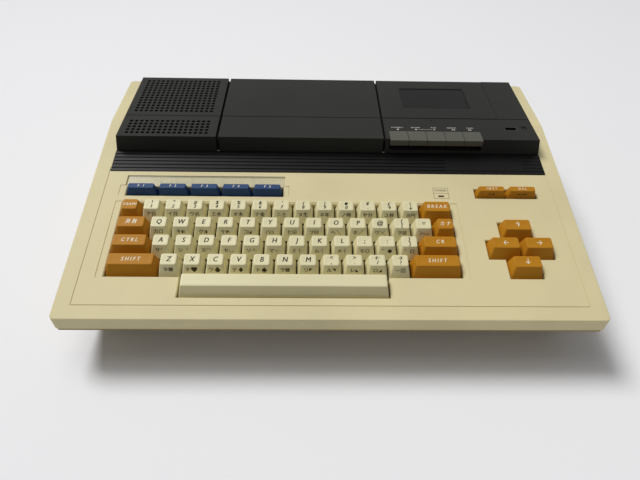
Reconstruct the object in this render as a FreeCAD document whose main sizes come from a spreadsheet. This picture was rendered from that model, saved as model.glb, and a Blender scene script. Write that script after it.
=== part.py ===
import FreeCAD, Part
import math
import os
import Sketcher

# A home computer in one wedge-shaped case: a keyboard on a sloping deck, a row of black
# covers behind it, and a flat-loading tape deck under the right-hand cover.
# Millimetres. X runs to the right, Y from the front to the back, Z up from the feet.
# The deck has its own frame: u to the right, v up the slope, w out of the surface.

V = FreeCAD.Vector
X_AXIS = V(1, 0, 0)

SIZES = [
    # The case
    ("case_width", 440.0, "overall width"),
    ("case_depth", 305.0, "overall depth"),
    ("case_height", 102.0, "top of the black covers"),
    ("front_height", 54.0, "top edge of the front skirt"),
    ("deck_tilt", 10.3, "slope of the deck in degrees"),
    ("deck_run", 220.5, "length of the slope up to the level rim"),
    ("rear_lean", 5.7, "how far the rear top edge stands ahead of the rear foot"),
    ("seam_height", 41.5, "lower edge of the upper cabinet"),
    ("case_wall", 2.5, "wall of both cabinets"),
    ("case_corner", 4.0, "radius of the upright corners"),
    ("edge_round", 1.0, "radius along the top edges"),
    ("seam_gap", 1.0, "dark seam between the cabinets"),
    ("lip_inset", 2.0, "lower cabinet inside the upper one"),
    ("lip_height", 3.5, "upright lip of the lower cabinet"),
    ("belly_front", 46.0, "front setback of the underside"),
    ("belly_side", 13.0, "side setback of the underside"),
    ("belly_back", 6.0, "rear setback of the underside"),
    ("belly_height", 3.5, "underside above the desk"),
    ("floor_thickness", 3.0, "floor of the lower cabinet"),
    ("tongue_height", 3.0, "rim of the lower cabinet above the seam"),
    ("tongue_thickness", 2.0, "thickness of that rim"),
    ("fit_gap", 0.3, "clearance between parts that sit or slide in each other"),
    # Feet, bosses and screws
    ("foot_radius", 9.0, "rubber foot"),
    ("foot_sink", 0.8, "recess that a foot sits in"),
    ("foot_spread", 178.0, "feet from the middle line"),
    ("foot_front", 72.0, "front feet from the front edge"),
    ("foot_rear", 275.0, "rear feet from the front edge"),
    ("boss_radius", 4.0, "screw boss"),
    ("screw_radius", 1.5, "shank of the case screws"),
    ("head_radius", 2.9, "head of the case screws"),
    ("head_height", 2.2, "height of the screw heads"),
    ("head_seat", 9.0, "height of the counterbored seat"),
    ("screw_grip", 9.0, "screw length above the seam"),
    # Deck details
    ("line_inset", 13.6, "moulded line from the side edges"),
    ("line_front", 12.4, "moulded line from the front edge"),
    ("line_width", 0.6, "width of the moulded lines"),
    ("line_depth", 0.5, "depth of the moulded lines"),
    ("strip_half", 205.8, "half width of the black strip"),
    ("strip_front", 153.0, "front edge of the strip"),
    ("strip_back", 179.3, "rear edge of the strip"),
    ("strip_sink", 1.2, "recess of the strip"),
    ("strip_rib", 0.7, "height of the strip's ribs"),
    ("strip_ribs", 6.0, "number of ribs"),
    ("badge_left", 112.0, "left edge of the smooth end of the strip"),
    ("window_left", -188.3, "label window, left"),
    ("window_right", -42.1, "label window, right"),
    ("window_front", 135.2, "label window, front"),
    ("window_back", 147.7, "label window, back"),
    ("window_sink", 1.6, "depth of its recess"),
    ("window_thickness", 1.0, "clear sheet"),
    ("lamp_left", 99.5, "power lamp, left"),
    ("lamp_front", 124.6, "power lamp, front"),
    ("lamp_width", 5.4, "power lamp, width"),
    ("lamp_depth", 2.1, "power lamp, depth"),
    ("collar_drop", 8.0, "walls round the key wells, below the deck"),
    ("collar_wall", 2.0, "thickness of those walls"),
    ("well_gap", 0.2, "well outside the key grid"),
    ("well_bevel", 0.7, "bevel round the wells"),
    # Keys
    ("key_pitch", 19.05, "key grid"),
    ("key_gap", 0.85, "gap between neighbouring caps"),
    ("grid_left", -186.6, "left edge of the main key grid"),
    ("grid_front", 19.7, "front edge of the main key grid"),
    ("cursor_left", 133.98, "left edge of the cursor keys"),
    ("cursor_drop", 0.45, "cursor keys nearer the front than the main rows"),
    ("function_left", -186.1, "left edge of the function keys"),
    ("small_front", 124.0, "front edge of the function keys"),
    ("small_depth", 10.1, "grid depth of the function keys"),
    ("cap_drop", 4.5, "cap skirt below the deck"),
    ("cap_rise", 7.1, "cap top above the deck"),
    ("cap_wall", 1.3, "wall of the caps"),
    ("cap_side_lean", 2.6, "side faces lean in"),
    ("cap_front_lean", 6.5, "front face leans in"),
    ("cap_back_lean", 0.9, "back face leans in"),
    ("small_rise", 6.0, "function cap top above the deck"),
    ("small_side_lean", 2.3, "function cap sides lean in"),
    ("small_front_lean", 3.2, "function cap front leans in"),
    ("small_back_lean", 0.5, "function cap back leans in"),
    ("stem_side", 5.0, "square plunger under a cap"),
    ("stem_back", 1.5, "plunger behind the middle of its cap"),
    ("small_stem_side", 2.8, "plunger under a function cap"),
    ("small_stem_back", 0.4, "that plunger behind the middle of its cap"),
    ("stem_end", 9.0, "plunger ends this far below the deck"),
    ("key_travel", 3.8, "travel of every key"),
    ("bar_guide", 50.0, "outer plungers of the space bar from its middle"),
    # Keyboard frame, contact sheet and board
    ("frame_top", 10.0, "keyboard frame below the deck"),
    ("frame_plate", 2.0, "plate of the frame"),
    ("frame_left", -191.3, "frame, left edge"),
    ("frame_right", 199.0, "frame, right edge"),
    ("frame_front", 15.0, "frame, front edge"),
    ("frame_back", 139.0, "frame, rear edge"),
    ("sleeve_wall", 1.4, "wall of the plunger guides"),
    ("sleeve_height", 6.0, "guides above the frame"),
    ("small_sleeve_height", 1.5, "guides of the function keys"),
    ("spacer_radius", 3.0, "spacers between deck and frame"),
    ("sheet_gap", 1.4, "frame plate to contact sheet"),
    ("sheet_thickness", 1.0, "rubber contact sheet"),
    ("board_thickness", 1.6, "printed boards"),
    # Black covers
    ("cover_half", 205.8, "half width at the foot of the covers"),
    ("cover_top_half", 203.0, "half width at their top"),
    ("cover_front", 176.9, "front foot of the covers"),
    ("cover_top_front", 178.0, "front top edge"),
    ("cover_back", 293.0, "rear foot of the covers"),
    ("cover_top_back", 291.5, "rear top edge"),
    ("cover_wall", 2.5, "wall of the covers"),
    ("vent_right", -109.0, "right edge of the vent cover"),
    ("bay_left", -106.6, "left edge of the middle cover"),
    ("bay_right", 51.8, "right edge of the middle cover"),
    ("housing_left", 53.9, "left edge of the tape deck"),
    ("crease_y", 214.6, "moulded line across the covers"),
    ("crease_size", 0.8, "width and depth of that line"),
    ("opening_inset", 2.2, "opening in the cabinet inside the foot of the covers"),
    ("vent_pitch", 5.04, "pitch of the vent holes"),
    ("vent_hole", 3.1, "side of a vent hole"),
    ("vent_first_x", -194.5, "first column of holes"),
    ("vent_columns", 16.0, "columns"),
    ("vent_rear_y", 223.3, "first row of the rear field"),
    ("vent_rear_rows", 13.0, "rows of the rear field"),
    ("vent_front_y", 184.2, "first row of the front field"),
    ("vent_front_rows", 5.0, "rows of the front field"),
    # Tape deck
    ("door_right", 171.2, "right edge of the door"),
    ("door_front", 215.3, "front edge of the door"),
    ("door_back", 291.0, "rear edge of the door"),
    ("door_thickness", 3.5, "door plate"),
    ("hinge_y", 289.5, "door hinge"),
    ("hinge_z", 95.7, "door hinge"),
    ("barrel_radius", 2.3, "hinge barrel of the door"),
    ("hinge_pin", 1.2, "hinge pin"),
    ("pin_gap", 0.1, "running clearance of pins and shafts"),
    ("pane_left", 78.5, "door window, left"),
    ("pane_right", 146.0, "door window, right"),
    ("pane_front", 236.0, "door window, front"),
    ("pane_back", 274.0, "door window, back"),
    ("pane_thickness", 2.0, "clear pane"),
    ("pane_ledge", 1.5, "ledge that the pane sits on"),
    ("well_left", 60.5, "cassette well, left"),
    ("well_right", 164.5, "cassette well, right"),
    ("well_front", 212.5, "cassette well, front"),
    ("well_back", 284.8, "cassette well, back"),
    ("well_floor", 84.5, "cassette well, floor"),
    ("tub_floor", 2.0, "floor of the well"),
    ("tub_wall", 2.0, "front and rear wall of the well"),
    ("reel_spacing", 42.5, "distance between the reel spindles"),
    ("reel_middle", 112.5, "middle of the cassette"),
    ("reel_y", 255.3, "reel spindles"),
    ("spindle_top", 92.5, "top of the spindles"),
    ("capstan_x", 143.4, "capstan"),
    ("capstan_y", 229.5, "capstan"),
    ("capstan_radius", 1.25, "capstan"),
    ("flywheel_radius", 24.0, "flywheel"),
    ("flywheel_base", 66.6, "underside of the flywheel"),
    ("flywheel_height", 5.0, "rim of the flywheel"),
    ("motor_x", 80.0, "tape motor"),
    ("motor_radius", 13.5, "tape motor"),
    ("motor_top", 66.0, "top of the tape motor"),
    ("motor_height", 28.0, "length of the tape motor"),
    ("pulley_radius", 4.0, "motor pulley"),
    ("belt_thickness", 1.2, "drive belt"),
    ("belt_width", 1.5, "drive belt"),
    ("chassis_top", 76.5, "top of the deck chassis"),
    ("chassis_sheet", 1.5, "sheet of the deck chassis"),
    ("roller_radius", 4.5, "pinch roller"),
    ("roller_y", 219.2, "pinch roller at rest"),
    ("head_travel", 4.0, "travel of the head bridge"),
    # Tape keys
    ("tape_key_left", 58.2, "left edge of the tape keys"),
    ("tape_key_pitch", 17.98, "pitch of the tape keys"),
    ("tape_key_gap", 0.5, "gap between the tape keys"),
    ("tape_key_front", 175.5, "front face of the tape keys"),
    ("tape_key_back", 191.3, "rear edge of the tape keys"),
    ("tape_key_face", 6.0, "height of their front face"),
    ("bay_floor", 89.5, "floor of the bay under the tape keys"),
    ("lever_y", 206.0, "pivot rod of the tape keys"),
    ("lever_z", 94.5, "pivot rod of the tape keys"),
    ("lever_rod", 1.5, "pivot rod"),
    # Counter
    ("counter_left", 174.0, "counter window, left"),
    ("counter_width", 11.0, "counter window, width"),
    ("counter_front", 195.0, "counter window, front"),
    ("counter_depth", 4.6, "counter window, depth"),
    ("counter_radius", 5.2, "counter wheels"),
    ("counter_z", 94.0, "counter axle"),
    ("zero_x", 193.2, "counter button"),
    ("zero_y", 199.0, "counter button"),
    ("zero_radius", 2.8, "counter button"),
    # Boards and rear sockets
    ("main_left", -100.0, "main board, left"),
    ("main_right", 186.0, "main board, right"),
    ("main_front", 76.0, "main board, front"),
    ("main_back", 290.0, "main board, back"),
    ("main_height", 12.0, "underside of the main board"),
    ("port_back", 299.0, "rear faces of the sockets"),
    ("port_gap", 0.4, "clearance round the sockets"),
    ("port_floor", 13.6, "underside of the low sockets"),
    ("rocker_x", -143.0, "power rocker"),
    ("rocker_z", 21.0, "power rocker"),
    ("rocker_width", 9.0, "power rocker"),
    ("reset_x", 172.0, "reset button"),
    ("reset_z", 21.0, "reset button"),
    ("reset_radius", 3.5, "reset button"),
    ("speaker_x", -155.0, "loudspeaker"),
    ("speaker_y", 118.0, "loudspeaker"),
    ("speaker_radius", 28.0, "loudspeaker"),
    ("supply_left", -196.0, "power supply, left"),
    ("supply_right", -126.0, "power supply, right"),
    ("supply_front", 190.0, "power supply, front"),
    ("supply_back", 270.0, "power supply, back"),
]

# Screw bosses that join the cabinets, from the middle line and from the front edge
SCREW_SPOTS = [
    (-196.0, 62.0), (121.0, 62.0), (-196.0, 146.0), (196.0, 146.0), (-196.0, 292.0), (196.0, 292.0),
]

# Spacers between deck and keyboard frame, in the deck frame
SPACER_SPOTS = [(-150.0, 27.0), (80.0, 27.0), (186.0, 27.0), (121.0, 100.0), (0.0, 128.0), (75.0, 128.0)]

# Rows of plain keys: node, row counted from the space bar, first unit, number of keys
PLAIN_ROWS = [
    ("digit_row_keys", 4, 1.0, 13),
    ("upper_letter_keys", 3, 1.5, 13),
    ("home_letter_keys", 2, 1.75, 12),
    ("lower_letter_keys", 1, 2.25, 11),
]

# Keys of their own in the main block: node, row, first unit, width in units
MAIN_KEYS = [
    ("graph_key", 4, 0.0, 1.0),
    ("break_key", 4, 14.0, 1.5),
    ("alpha_key", 3, 0.0, 1.5),
    ("kana_key", 3, 14.5, 1.0),
    ("control_key", 2, 0.0, 1.75),
    ("return_key", 2, 13.75, 1.75),
    ("left_shift_key", 1, 0.0, 2.25),
    ("right_shift_key", 1, 13.25, 2.25),
    ("space_bar", 0, 3.25, 9.0),
]

# Cursor keys: node, row, first unit from the left of their block
CURSOR_KEYS = [
    ("cursor_left_key", 2, 0.0),
    ("cursor_right_key", 2, 1.5),
    ("cursor_up_key", 3, 0.75),
    ("cursor_down_key", 1, 0.75),
]
CURSOR_UNITS = 1.5

# Low keys along the rear edge: node, which block, place in it
SMALL_KEYS = [
    ("function_key_1", "function", 0),
    ("function_key_2", "function", 1),
    ("function_key_3", "function", 2),
    ("function_key_4", "function", 3),
    ("function_key_5", "function", 4),
    ("insert_key", "cursor", 0),
    ("delete_key", "cursor", 1),
]
SMALL_UNITS = 1.5
FUNCTION_COUNT = 5
EDIT_COUNT = 2
MAIN_UNITS = 15.5
MAIN_ROWS = 5
BAR_UNITS = (3.25, 12.25)

TAPE_KEYS = ["stop_eject_key", "record_key", "play_key", "rewind_key", "fast_forward_key"]

# Rear cut-outs: left, right, bottom, top
PORTS = {
    "mains_inlet": (-189.0, -161.0, 12.0, 30.0),
    "power_rocker": (-150.5, -135.5, 9.5, 32.5),
    "video_socket": (-96.0, -78.0, 13.6, 31.6),
    "monitor_jack": (-66.0, -54.0, 13.6, 25.6),
    "aerial_jack": (-44.0, -32.0, 13.6, 25.6),
    "printer_slot": (-14.0, 42.0, 12.0, 25.0),
    "bus_slot": (54.0, 108.0, 12.0, 25.0),
    "stick_socket_left": (127.0, 141.0, 13.6, 25.6),
    "stick_socket_right": (146.0, 160.0, 13.6, 25.6),
}


class Size:
    """A length that knows its number and the sheet formula that gives it."""

    def __init__(self, value, formula):
        self.value = float(value)
        self.formula = formula

    def joined(self, other, sign, value):
        return Size(value, f"({self.formula} {sign} {other.formula})")

    def __add__(self, other):
        other = as_size(other)
        return self.joined(other, "+", self.value + other.value)

    def __radd__(self, other):
        return as_size(other) + self

    def __sub__(self, other):
        other = as_size(other)
        return self.joined(other, "-", self.value - other.value)

    def __rsub__(self, other):
        return as_size(other) - self

    def __mul__(self, other):
        other = as_size(other)
        return self.joined(other, "*", self.value * other.value)

    def __rmul__(self, other):
        return as_size(other) * self

    def __truediv__(self, other):
        other = as_size(other)
        return self.joined(other, "/", self.value / other.value)

    def __rtruediv__(self, other):
        return as_size(other) / self

    def __neg__(self):
        return Size(-self.value, f"(0 - {self.formula})")

    def __float__(self):
        return self.value


def as_size(number):
    """Plain numbers join in with sheet sizes."""
    if isinstance(number, Size):
        return number
    return Size(number, f"({float(number)!r})")


def sine(angle):
    return Size(math.sin(math.radians(angle.value)), f"sin({angle.formula})")


def cosine(angle):
    return Size(math.cos(math.radians(angle.value)), f"cos({angle.formula})")


doc = FreeCAD.newDocument("home_computer")
sheet = doc.addObject("Spreadsheet::Sheet", "Sizes")


class Dimensions:
    """Every driving size, by its alias."""


D = Dimensions()
for row, (alias, number, note) in enumerate(SIZES, start=1):
    sheet.set(f"A{row}", note)
    sheet.set(f"B{row}", str(number))
    sheet.setAlias(f"B{row}", alias)
    setattr(D, alias, Size(number, f"Sizes.{alias}"))
doc.recompute()

# Places that several parts share
FRONT = -D.case_depth / 2
BACK = D.case_depth / 2
SIDE = D.case_width / 2
SLOPE_SIN = sine(D.deck_tilt)
SLOPE_COS = cosine(D.deck_tilt)
RIM_HEIGHT = D.front_height + D.deck_run * SLOPE_SIN
RIM_START = FRONT + D.deck_run * SLOPE_COS
RIM_BACK = BACK - D.rear_lean
LOWER_TOP = D.seam_height - D.seam_gap
SPLIT = D.seam_height + D.fit_gap
LID_UNDER = D.case_height - D.cover_wall
DOOR_UNDER = D.case_height - D.door_thickness
WELL_TOP = DOOR_UNDER - D.fit_gap
TUB_UNDER = D.well_floor - D.tub_floor
REACH = 600.0


def depth_at(distance):
    """Y of a place this far behind the front edge."""
    return FRONT + distance


def deck_height(y):
    """Height of the sloping deck at a row-frame Y."""
    return D.front_height + (y - FRONT) * SLOPE_SIN / SLOPE_COS


# Helpers that make features

finished = {}
changes = []


def bind(thing, prop, size):
    """Ties one property to the sheet."""
    if isinstance(size, Size):
        thing.setExpression(prop, size.formula)


def new_body(name):
    body = doc.addObject("PartDesign::Body", name)
    body.Label = name
    body.AllowCompound = True
    return body


def origin_part(body, role):
    for feature in body.Origin.OriginFeatures:
        if feature.Role == role:
            return feature
    raise ValueError(role)


def seat(thing, body, role, base=(0.0, 0.0, 0.0), axis=X_AXIS, angle=0.0):
    """Attaches a sketch or primitive to an origin plane, moved and turned."""
    thing.AttachmentSupport = [(origin_part(body, role), "")]
    thing.MapMode = "FlatFace"
    base = [as_size(part) for part in base]
    turn = FreeCAD.Rotation(axis, float(angle))
    thing.AttachmentOffset = FreeCAD.Placement(V(*[part.value for part in base]), turn)
    for letter, part in zip("xyz", base):
        bind(thing, f"AttachmentOffset.Base.{letter}", part)
    if isinstance(angle, Size):
        bind(thing, "AttachmentOffset.Rotation.Angle", angle)


def add_polygon(sketch, points):
    """Closed outline whose corners are tied to the sheet."""
    points = [(as_size(x), as_size(y)) for x, y in points]
    first = sketch.GeometryCount
    count = len(points)
    flat = [V(x.value, y.value, 0) for x, y in points]
    sketch.addGeometry([Part.LineSegment(flat[i], flat[(i + 1) % count]) for i in range(count)], False)
    rules = [Sketcher.Constraint("Coincident", first + i, 2, first + (i + 1) % count, 1) for i in range(count)]
    rule_at = sketch.ConstraintCount + count
    for i, (x, y) in enumerate(points):
        rules.append(Sketcher.Constraint("DistanceX", first + i, 1, x.value))
        rules.append(Sketcher.Constraint("DistanceY", first + i, 1, y.value))
    sketch.addConstraint(rules)
    for i, (x, y) in enumerate(points):
        bind(sketch, f"Constraints[{rule_at + 2 * i}]", x)
        bind(sketch, f"Constraints[{rule_at + 2 * i + 1}]", y)


def add_rectangle(sketch, left, low, right, high):
    add_polygon(sketch, [(left, low), (right, low), (right, high), (left, high)])


def add_circle(sketch, x, y, radius):
    x, y, radius = as_size(x), as_size(y), as_size(radius)
    index = sketch.GeometryCount
    rule_at = sketch.ConstraintCount
    sketch.addGeometry(Part.Circle(V(x.value, y.value, 0), V(0, 0, 1), radius.value), False)
    sketch.addConstraint([
        Sketcher.Constraint("DistanceX", index, 3, x.value),
        Sketcher.Constraint("DistanceY", index, 3, y.value),
        Sketcher.Constraint("Radius", index, radius.value),
    ])
    for step, size in enumerate((x, y, radius)):
        bind(sketch, f"Constraints[{rule_at + step}]", size)


def new_sketch(body, name):
    return body.newObject("Sketcher::SketchObject", name)


def level_sketch(body, name, height):
    """Sketch in a level plane at this height."""
    sketch = new_sketch(body, name)
    seat(sketch, body, "XY_Plane", (0.0, 0.0, height))
    return sketch


def side_sketch(body, name):
    """Sketch in the middle plane: its x is Y and its y is Z."""
    sketch = new_sketch(body, name)
    seat(sketch, body, "YZ_Plane")
    return sketch


def deck_sketch(body, name, above):
    """Sketch parallel to the deck, in u and v, this far above its surface."""
    sketch = new_sketch(body, name)
    base = (0.0, FRONT - as_size(above) * SLOPE_SIN, D.front_height + as_size(above) * SLOPE_COS)
    seat(sketch, body, "XY_Plane", base, X_AXIS, D.deck_tilt)
    return sketch


def note_change(body, feature, sign):
    """Makes a feature the newest of its body; check_all sees whether it added or removed something."""
    body.Tip = feature
    feature.Refine = False
    changes.append((body, feature, sign))
    return feature


def extrude(body, kind, name, sketch, length, both, flip):
    feature = body.newObject(kind, name)
    feature.Profile = sketch
    feature.Length = float(as_size(length))
    bind(feature, "Length", length)
    if both:
        feature.Midplane = True
    feature.Reversed = flip
    sign = 1 if kind == "PartDesign::Pad" else -1
    return note_change(body, feature, sign)


def pad(body, name, sketch, length, both=False, flip=False):
    return extrude(body, "PartDesign::Pad", name, sketch, length, both, flip)


def pocket(body, name, sketch, length, both=False, flip=False):
    return extrude(body, "PartDesign::Pocket", name, sketch, length, both, flip)


def set_sizes(feature, sizes):
    for prop, size in sizes.items():
        size = as_size(size)
        setattr(feature, prop, size.value)
        bind(feature, prop, size)


def block(body, name, low, high, cut=False):
    """Box between two corners, added or cut away."""
    kind = "PartDesign::SubtractiveBox" if cut else "PartDesign::AdditiveBox"
    low = [as_size(part) for part in low]
    high = [as_size(part) for part in high]
    feature = body.newObject(kind, name)
    seat(feature, body, "XY_Plane", low)
    spans = [top - bottom for bottom, top in zip(low, high)]
    set_sizes(feature, dict(zip(("Length", "Width", "Height"), spans)))
    return note_change(body, feature, -1 if cut else 1)


def rod(body, name, start, radius, length, axis="Z", cut=False):
    """Cylinder from a start point along an axis, added or cut away."""
    kind = "PartDesign::SubtractiveCylinder" if cut else "PartDesign::AdditiveCylinder"
    turns = {"Z": (X_AXIS, 0.0), "X": (V(0, 1, 0), 90.0), "Y": (X_AXIS, -90.0)}
    feature = body.newObject(kind, name)
    seat(feature, body, "XY_Plane", start, *turns[axis])
    set_sizes(feature, {"Radius": radius, "Height": length})
    return note_change(body, feature, -1 if cut else 1)


def frustum(body, name, foot, top, low, high, cut=False):
    """Block with a rectangular foot and another rectangle on top: left, front, right, back."""
    kind = "PartDesign::SubtractiveWedge" if cut else "PartDesign::AdditiveWedge"
    feature = body.newObject(kind, name)
    seat(feature, body, "XY_Plane", (0.0, 0.0, 0.0), X_AXIS, 90.0)
    foot = [as_size(part) for part in foot]
    top = [as_size(part) for part in top]
    set_sizes(feature, {
        "Xmax": foot[2], "Xmin": foot[0], "Zmax": -foot[1], "Zmin": -foot[3],
        "X2max": top[2], "X2min": top[0], "Z2max": -top[1], "Z2min": -top[3],
        "Ymax": high, "Ymin": low,
    })
    return note_change(body, feature, -1 if cut else 1)


def place_on_deck(thing, u, v, w=0.0):
    """Puts a part that is modelled flat onto the sloping deck."""
    u, v, w = as_size(u), as_size(v), as_size(w)
    y = FRONT + v * SLOPE_COS - w * SLOPE_SIN
    z = D.front_height + v * SLOPE_SIN + w * SLOPE_COS
    thing.Placement = FreeCAD.Placement(V(u.value, y.value, z.value), FreeCAD.Rotation(X_AXIS, D.deck_tilt.value))
    bind(thing, "Placement.Base.x", u)
    bind(thing, "Placement.Base.y", y)
    bind(thing, "Placement.Base.z", z)
    bind(thing, "Placement.Rotation.Angle", D.deck_tilt)


def edges_where(feature, wanted):
    """Names of the edges whose two ends pass a test."""
    names = []
    for number, edge in enumerate(feature.Shape.Edges, start=1):
        ends = [vertex.Point for vertex in edge.Vertexes]
        if len(ends) == 2 and wanted(ends[0], ends[1]):
            names.append(f"Edge{number}")
    if not names:
        raise ValueError(f"no edge to dress on {feature.Label}")
    return names


def dress(body, kind, name, base, wanted, prop, size):
    """Fillet or chamfer on the edges that pass a test."""
    doc.recompute()
    feature = body.newObject(kind, name)
    feature.Base = (base, edges_where(base, wanted))
    setattr(feature, prop, size.value)
    bind(feature, prop, size)
    body.Tip = feature
    return feature


def near(a, b, slack=0.02):
    return abs(float(a) - float(b)) < slack


def keep(name, thing):
    """Names a finished piece; only its last feature merges faces that lie in one plane."""
    thing.Label = name
    if thing.isDerivedFrom("PartDesign::Body"):
        thing.Tip.Refine = True
    doc.recompute()
    finished[name] = thing


# Outlines of the key wells, in u and v, grown outwards by a margin

def main_well(margin):
    right = D.grid_left + MAIN_UNITS * D.key_pitch + margin
    left = D.grid_left - margin
    back = D.grid_front + MAIN_ROWS * D.key_pitch + margin
    step = D.grid_front + D.key_pitch - margin
    front = D.grid_front - margin
    bar_left = D.grid_left + BAR_UNITS[0] * D.key_pitch - margin
    bar_right = D.grid_left + BAR_UNITS[1] * D.key_pitch + margin
    return [
        (left, step), (bar_left, step), (bar_left, front), (bar_right, front),
        (bar_right, step), (right, step), (right, back), (left, back),
    ]


def cursor_well(margin):
    left = D.cursor_left - margin
    right = D.cursor_left + 2 * CURSOR_UNITS * D.key_pitch + margin
    arm_left = D.cursor_left + 0.75 * D.key_pitch - margin
    arm_right = D.cursor_left + 2.25 * D.key_pitch + margin
    row = D.grid_front - D.cursor_drop
    low, high = row + 2 * D.key_pitch - margin, row + 3 * D.key_pitch + margin
    front, back = row + D.key_pitch - margin, row + 4 * D.key_pitch + margin
    return [
        (arm_left, front), (arm_right, front), (arm_right, low), (right, low),
        (right, high), (arm_right, high), (arm_right, back), (arm_left, back),
        (arm_left, high), (left, high), (left, low), (arm_left, low),
    ]


def small_well(left, count, margin):
    right = left + count * SMALL_UNITS * D.key_pitch + margin
    low, high = D.small_front - margin, D.small_front + D.small_depth + margin
    return [(left - margin, low), (right, low), (right, high), (left - margin, high)]


def well_outlines(margin):
    return [
        main_well(margin),
        cursor_well(margin),
        small_well(D.function_left, FUNCTION_COUNT, margin),
        small_well(D.cursor_left, EDIT_COUNT, margin),
    ]


# The two halves of the case

def round_upper(body, shell):
    """Rounds the upright corners and then the top edges."""
    def upright(a, b):
        at_side = near(abs(a.x), SIDE) and near(abs(b.x), SIDE) and a.x * b.x > 0
        at_front = near(a.y, FRONT) and near(b.y, FRONT)
        at_rear = a.y > RIM_BACK.value - 1 and b.y > RIM_BACK.value - 1
        return at_side and (at_front or at_rear) and abs(a.z - b.z) > 5
    corners = dress(body, "PartDesign::Fillet", "upright_corners", shell, upright, "Radius", D.case_corner)

    def on_top(point):
        on_slope = near(point.z, deck_height(as_size(point.y)))
        return (on_slope and point.y < RIM_START.value + 0.1) or near(point.z, RIM_HEIGHT)

    def top_edge(a, b):
        kink = near(a.y, RIM_START) and near(b.y, RIM_START)
        return on_top(a) and on_top(b) and not kink
    return dress(body, "PartDesign::Fillet", "top_edges", corners, top_edge, "Radius", D.edge_round)


def hollow_upper(body):
    inner_front = FRONT + D.case_wall
    slope = SLOPE_SIN / SLOPE_COS
    thick = D.case_wall / SLOPE_COS
    ceiling = RIM_HEIGHT - D.case_wall
    kink = FRONT + (ceiling - D.front_height + thick) / slope
    under = D.seam_height - 1.0
    sketch = side_sketch(body, "inner_profile")
    add_polygon(sketch, [
        (inner_front, under),
        (inner_front, D.front_height + D.case_wall * slope - thick),
        (kink, ceiling),
        (RIM_BACK - D.case_wall, ceiling),
        (BACK - D.case_wall, under),
    ])
    pocket(body, "hollow", sketch, D.case_width - 2 * D.case_wall, both=True)


def cut_wells(body):
    start = -D.case_wall / 2
    collars = deck_sketch(body, "collar_outlines", start)
    for outline in well_outlines(D.well_gap + D.collar_wall):
        add_polygon(collars, outline)
    pad(body, "well_collars", collars, D.collar_drop + start, flip=True)
    above = 1.0
    wells = deck_sketch(body, "well_outlines", above)
    for outline in well_outlines(D.well_gap):
        add_polygon(wells, outline)
    cut = pocket(body, "key_wells", wells, D.collar_drop + 2 * above)
    to_deck = deck_frame().inverse()
    edge_u = SIDE.value - D.line_inset.value

    def well_edge(a, b):
        a, b = to_deck.multVec(a), to_deck.multVec(b)
        level = near(a.z, 0) and near(b.z, 0)
        inside = max(abs(a.x), abs(b.x)) < edge_u and min(a.y, b.y) > 15.0
        return level and inside
    dress(body, "PartDesign::Chamfer", "well_bevels", cut, well_edge, "Size", D.well_bevel)


def deck_frame():
    return FreeCAD.Placement(V(0, FRONT.value, D.front_height.value), FreeCAD.Rotation(X_AXIS, D.deck_tilt.value))


def cut_deck_details(body):
    strip = deck_sketch(body, "strip_outline", 1.0)
    half = D.strip_half + D.fit_gap
    add_rectangle(strip, -half, D.strip_front - D.fit_gap, half, D.strip_back + D.fit_gap)
    pocket(body, "strip_recess", strip, D.strip_sink + 1.0)
    window = deck_sketch(body, "window_outline", 1.0)
    add_rectangle(window, D.window_left, D.window_front, D.window_right, D.window_back)
    pocket(body, "window_recess", window, D.window_sink + 1.0)
    lamp = deck_sketch(body, "lamp_outline", 1.0)
    add_rectangle(lamp, D.lamp_left, D.lamp_front, D.lamp_left + D.lamp_width, D.lamp_front + D.lamp_depth)
    pocket(body, "lamp_slot", lamp, D.case_wall + 2.0)
    cut_moulded_lines(body)


def cut_moulded_lines(body):
    """Fine lines moulded into the deck: one frame round it and one round each upper well."""
    lines = deck_sketch(body, "moulded_lines", 1.0)
    width = D.line_width
    outer = SIDE - D.line_inset + width / 2
    behind = D.strip_front + 5.0
    add_rectangle(lines, -outer, D.line_front - width / 2, outer, behind)
    add_rectangle(lines, -outer + width, D.line_front + width / 2, outer - width, behind - width)
    side = 6.7
    left = D.grid_left - side
    right = D.grid_left + MAIN_UNITS * D.key_pitch + side
    low = D.grid_front + D.key_pitch - 1.3
    high = D.grid_front + MAIN_ROWS * D.key_pitch + 2.2
    add_polygon(lines, [
        (left, low), (left + width, low), (left + width, high - width), (right - width, high - width),
        (right - width, low), (right, low), (right, high), (left, high),
    ])
    function_right = D.function_left + FUNCTION_COUNT * SMALL_UNITS * D.key_pitch
    top = D.window_front + 0.9
    for edge, inward in ((D.function_left - side, 1), (function_right + 5.5, -1)):
        reach = edge + inward * 5.0
        add_polygon(lines, [
            (edge, D.small_front + 0.4), (edge + inward * width, D.small_front + 0.4),
            (edge + inward * width, top - width), (reach, top - width), (reach, top), (edge, top),
        ])
    pocket(body, "moulded_line_cuts", lines, D.line_depth + 1.0)


def opening_corners():
    """Opening under the black covers: left, front, right, back."""
    inset = D.opening_inset
    return (
        -D.cover_half + inset, depth_at(D.cover_front + inset + 0.3),
        D.cover_half - inset, depth_at(D.cover_back - inset),
    )


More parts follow.
